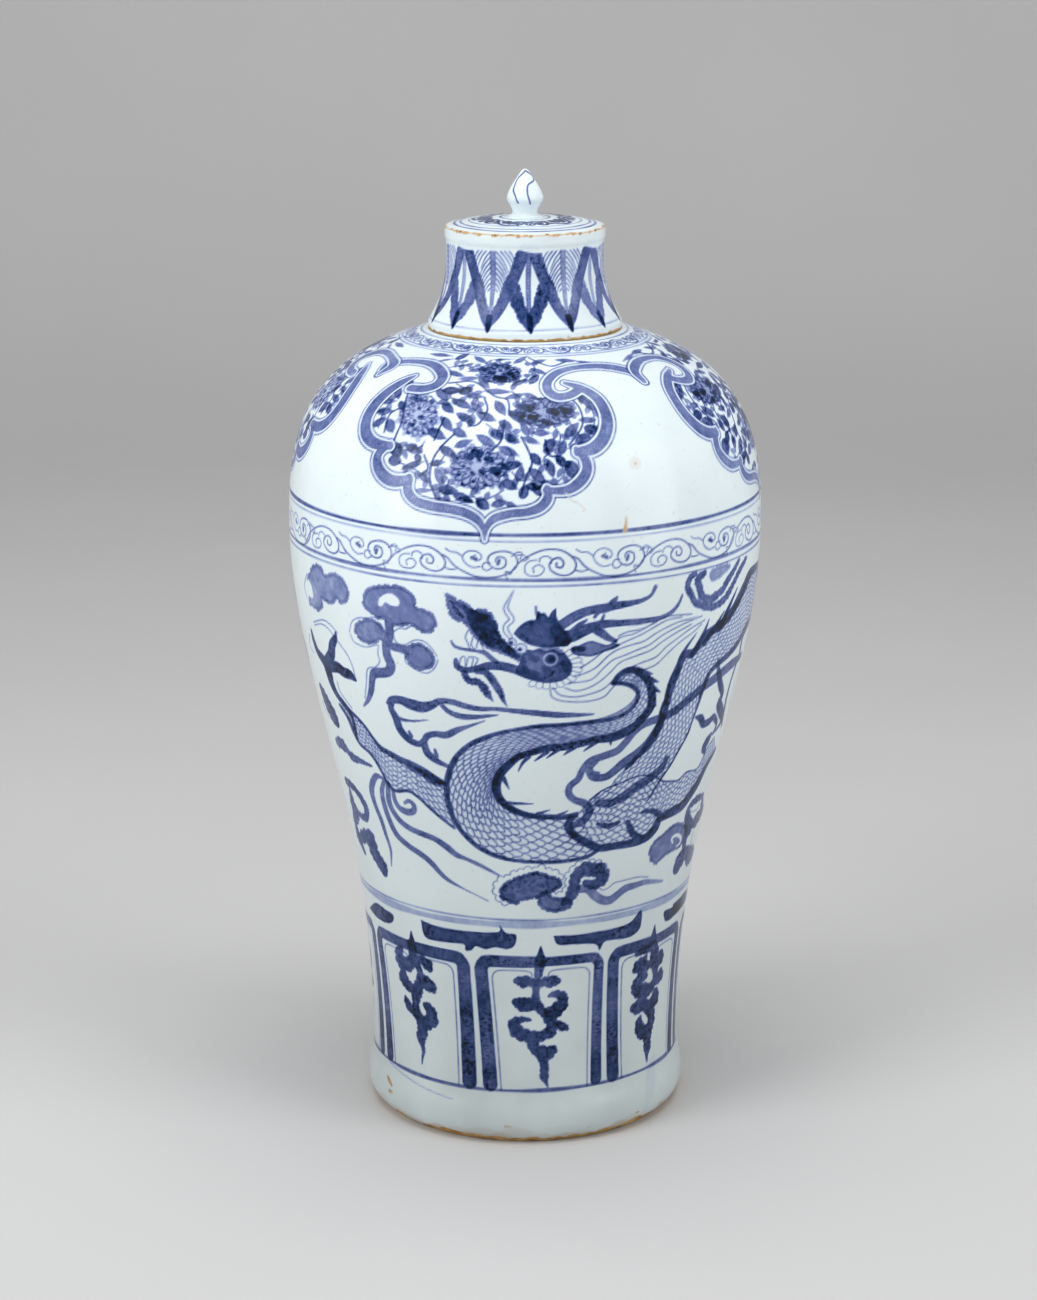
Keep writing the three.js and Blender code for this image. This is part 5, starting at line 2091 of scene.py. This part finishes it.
class VASE_OT_neck(bpy.types.Operator):
    """Turn the neck with its rolled lip"""

    bl_idname = "vase.neck"
    bl_label = "Neck"

    def execute(self, context):
        lip = bezier(
            (NECK_RADIUS, LIP_HEIGHT - LIP_DEPTH),
            (LIP_RADIUS + LIP_BEAD * 0.5, LIP_HEIGHT - LIP_DEPTH),
            (LIP_RADIUS + LIP_BEAD * 0.2, LIP_HEIGHT),
            (MOUTH_RADIUS + NECK_WALL * 0.6, LIP_HEIGHT),
            count=24,
        )
        bore = [(MOUTH_RADIUS, LIP_HEIGHT - LIP_BEAD / 2), (MOUTH_RADIUS, SEAT_HEIGHT)]
        outside = np.vstack([[(NECK_RADIUS, SEAT_HEIGHT)], lip, bore, [(NECK_RADIUS, SEAT_HEIGHT)]])
        piece = turned_piece("neck", [], outside, [], 240, glaze("plain_glaze"))
        take_painting(piece)
        finish_piece(piece, "vase", "neck_glaze", "neck_ring")
        return {"FINISHED"}


class VASE_OT_cover(bpy.types.Operator):
    """Turn and paint the cover's cap"""

    bl_idname = "vase.cover"
    bl_label = "Cover"

    def execute(self, context):
        sizes = context.scene.vase_sizes
        wall = Wall(cover_outline(), sizes.cell / MM, sizes.cover_columns)
        paint_cover(wall)
        outside = np.column_stack([wall.radius, wall.height])
        under = COVER_EDGE - TOP_THICKNESS
        drum = drum_side(COVER_WALL, RIM_HEIGHT, 16)[::-1]
        inside = np.vstack([[(0, under), (DRUM_RADIUS - COVER_WALL, under)], drum])
        after = [(0, COVER_TOP)]
        piece = turned_piece("cover", inside, outside, after, wall.columns, glaze("cover_glaze"), wall.along)
        take_painting(piece, wall)
        finish_piece(piece, "cover", "cover_glaze", "cover_cap")
        return {"FINISHED"}


class VASE_OT_sleeve(bpy.types.Operator):
    """Turn the sleeve under the cover, which enters the mouth"""

    bl_idname = "vase.sleeve"
    bl_label = "Sleeve"

    def execute(self, context):
        inner = SLEEVE_RADIUS - SLEEVE_WALL
        foot = bezier(
            (inner, SLEEVE_FOOT + EDGE_ROUNDING),
            (inner, SLEEVE_FOOT),
            (SLEEVE_RADIUS, SLEEVE_FOOT),
            (SLEEVE_RADIUS, SLEEVE_FOOT + EDGE_ROUNDING),
            count=12,
        )
        outline = np.vstack([foot, [(SLEEVE_RADIUS, SLEEVE_TOP), (inner, SLEEVE_TOP)], foot[:1]])
        piece = turned_piece("sleeve", [], outline, [], 192, bare_porcelain("bare_porcelain"))
        finish_piece(piece, "cover", "bare_porcelain", "cover_sleeve")
        return {"FINISHED"}


class VASE_OT_knob(bpy.types.Operator):
    """Turn and paint the bud knob"""

    bl_idname = "vase.knob"
    bl_label = "Knob"

    def execute(self, context):
        wall = Wall(knob_outline(), KNOB_CELL, KNOB_COLUMNS)
        paint_knob(wall)
        outside = np.column_stack([wall.radius, wall.height])
        before, after = [(0, KNOB_BASE)], [(0, KNOB_TIP)]
        piece = turned_piece("knob", before, outside, after, wall.columns, glaze("knob_glaze"), wall.along)
        take_painting(piece, wall)
        finish_piece(piece, "cover", "cover_glaze", "cover_knob")
        return {"FINISHED"}


class VASE_OT_stage(bpy.types.Operator):
    """Set up the floor, the light and the camera"""

    bl_idname = "vase.stage"
    bl_label = "Stage"

    def execute(self, context):
        settings = context.scene.vase_stage
        self.floor(settings)
        self.lights(settings)
        self.camera()
        context.scene.view_settings.view_transform = "Standard"
        return {"FINISHED"}

    def floor(self, settings):
        back = COVE_BACK + COVE_BEND
        bend = bezier((COVE_BACK, 0), (back, 0), (back, COVE_BEND), count=16)
        cove = [(-COVE_REACH, 0), (COVE_BACK, 0), *bend, (back, COVE_TOP)]
        mesh = bpy.data.meshes.new("floor")
        points = [(x, y, z) for y, z in cove for x in (-COVE_REACH, COVE_REACH)]
        faces = [(2 * i, 2 * i + 1, 2 * i + 3, 2 * i + 2) for i in range(len(cove) - 1)]
        mesh.from_pydata(points, [], faces)
        mesh.shade_smooth()
        floor = bpy.data.objects.new("floor", mesh)
        bpy.context.scene.collection.objects.link(floor)
        s = Shading("floor_paper")
        tone = tuple(settings.floor)
        shade = tuple(value * 0.97 for value in tone)
        put(s.shader.inputs["Base Color"], s.blend(s.spread(s.noise(3), 0.3, 0.7), tone, shade))
        s.shader.inputs["Roughness"].default_value = 0.9
        mesh.materials.append(s.material)

    def lights(self, settings):
        world = bpy.data.worlds.new("surroundings")
        world.use_nodes = True
        sky = world.node_tree.nodes["Background"]
        sky.inputs["Color"].default_value = (1, 1, 1, 1)
        sky.inputs["Strength"].default_value = settings.sky
        bpy.context.scene.world = world
        for name, place, size, power in SOFT_LIGHTS:
            light = bpy.data.lights.new(name, "AREA")
            light.shape = "RECTANGLE"
            light.size, light.size_y = size
            light.energy = power
            lamp = bpy.data.objects.new(name, light)
            lamp.location = place
            aim = Vector((0, 0, LIGHT_AIM)) - Vector(place)
            lamp.rotation_euler = aim.to_track_quat("-Z", "Y").to_euler()
            bpy.context.scene.collection.objects.link(lamp)

    def camera(self):
        lens = bpy.data.cameras.new("camera")
        lens.sensor_fit = "HORIZONTAL"
        lens.sensor_width = SENSOR_WIDTH
        lens.lens = FOCAL_PIXELS / PHOTO_WIDTH * SENSOR_WIDTH
        lens.shift_x = (PHOTO_WIDTH / 2 - AXIS_COLUMN) / PHOTO_WIDTH
        camera = bpy.data.objects.new("camera", lens)
        camera.location = (0, -CAMERA_BACK * MM, CAMERA_HEIGHT * MM)
        camera.rotation_euler = (math.pi / 2 - CAMERA_PITCH, 0, 0)
        bpy.context.scene.collection.objects.link(camera)
        bpy.context.scene.camera = camera


STEPS = (VASE_OT_body, VASE_OT_neck, VASE_OT_cover, VASE_OT_sleeve, VASE_OT_knob, VASE_OT_stage)


class VASE_PT_panel(bpy.types.Panel):
    """The vase's steps and settings in the sidebar"""

    bl_idname = "VASE_PT_panel"
    bl_label = "Covered Vase"
    bl_space_type = "VIEW_3D"
    bl_region_type = "UI"
    bl_category = "Vase"

    def draw(self, context):
        scene = context.scene
        for step in STEPS:
            self.layout.operator(step.bl_idname)
        for group in (scene.vase_sizes, scene.vase_colours, scene.vase_stage):
            box = self.layout.box()
            for name in group.bl_rna.properties.keys():
                if name not in ("rna_type", "name"):
                    box.prop(group, name)


GROUPS = {"vase_sizes": VaseSizes, "vase_colours": VaseColours, "vase_stage": VaseStage}


def register():
    for name, group in GROUPS.items():
        bpy.utils.register_class(group)
        setattr(bpy.types.Scene, name, PointerProperty(type=group))
    for item in (*STEPS, VASE_PT_panel):
        bpy.utils.register_class(item)


def unregister():
    for item in (VASE_PT_panel, *reversed(STEPS)):
        bpy.utils.unregister_class(item)
    for name, group in reversed(GROUPS.items()):
        delattr(bpy.types.Scene, name)
        bpy.utils.unregister_class(group)


def main():
    register()
    bpy.ops.vase.body()
    bpy.ops.vase.neck()
    bpy.ops.vase.cover()
    bpy.ops.vase.sleeve()
    bpy.ops.vase.knob()
    bpy.ops.vase.stage()
    bpy.context.view_layer.update()


if __name__ == "__main__":
    main()
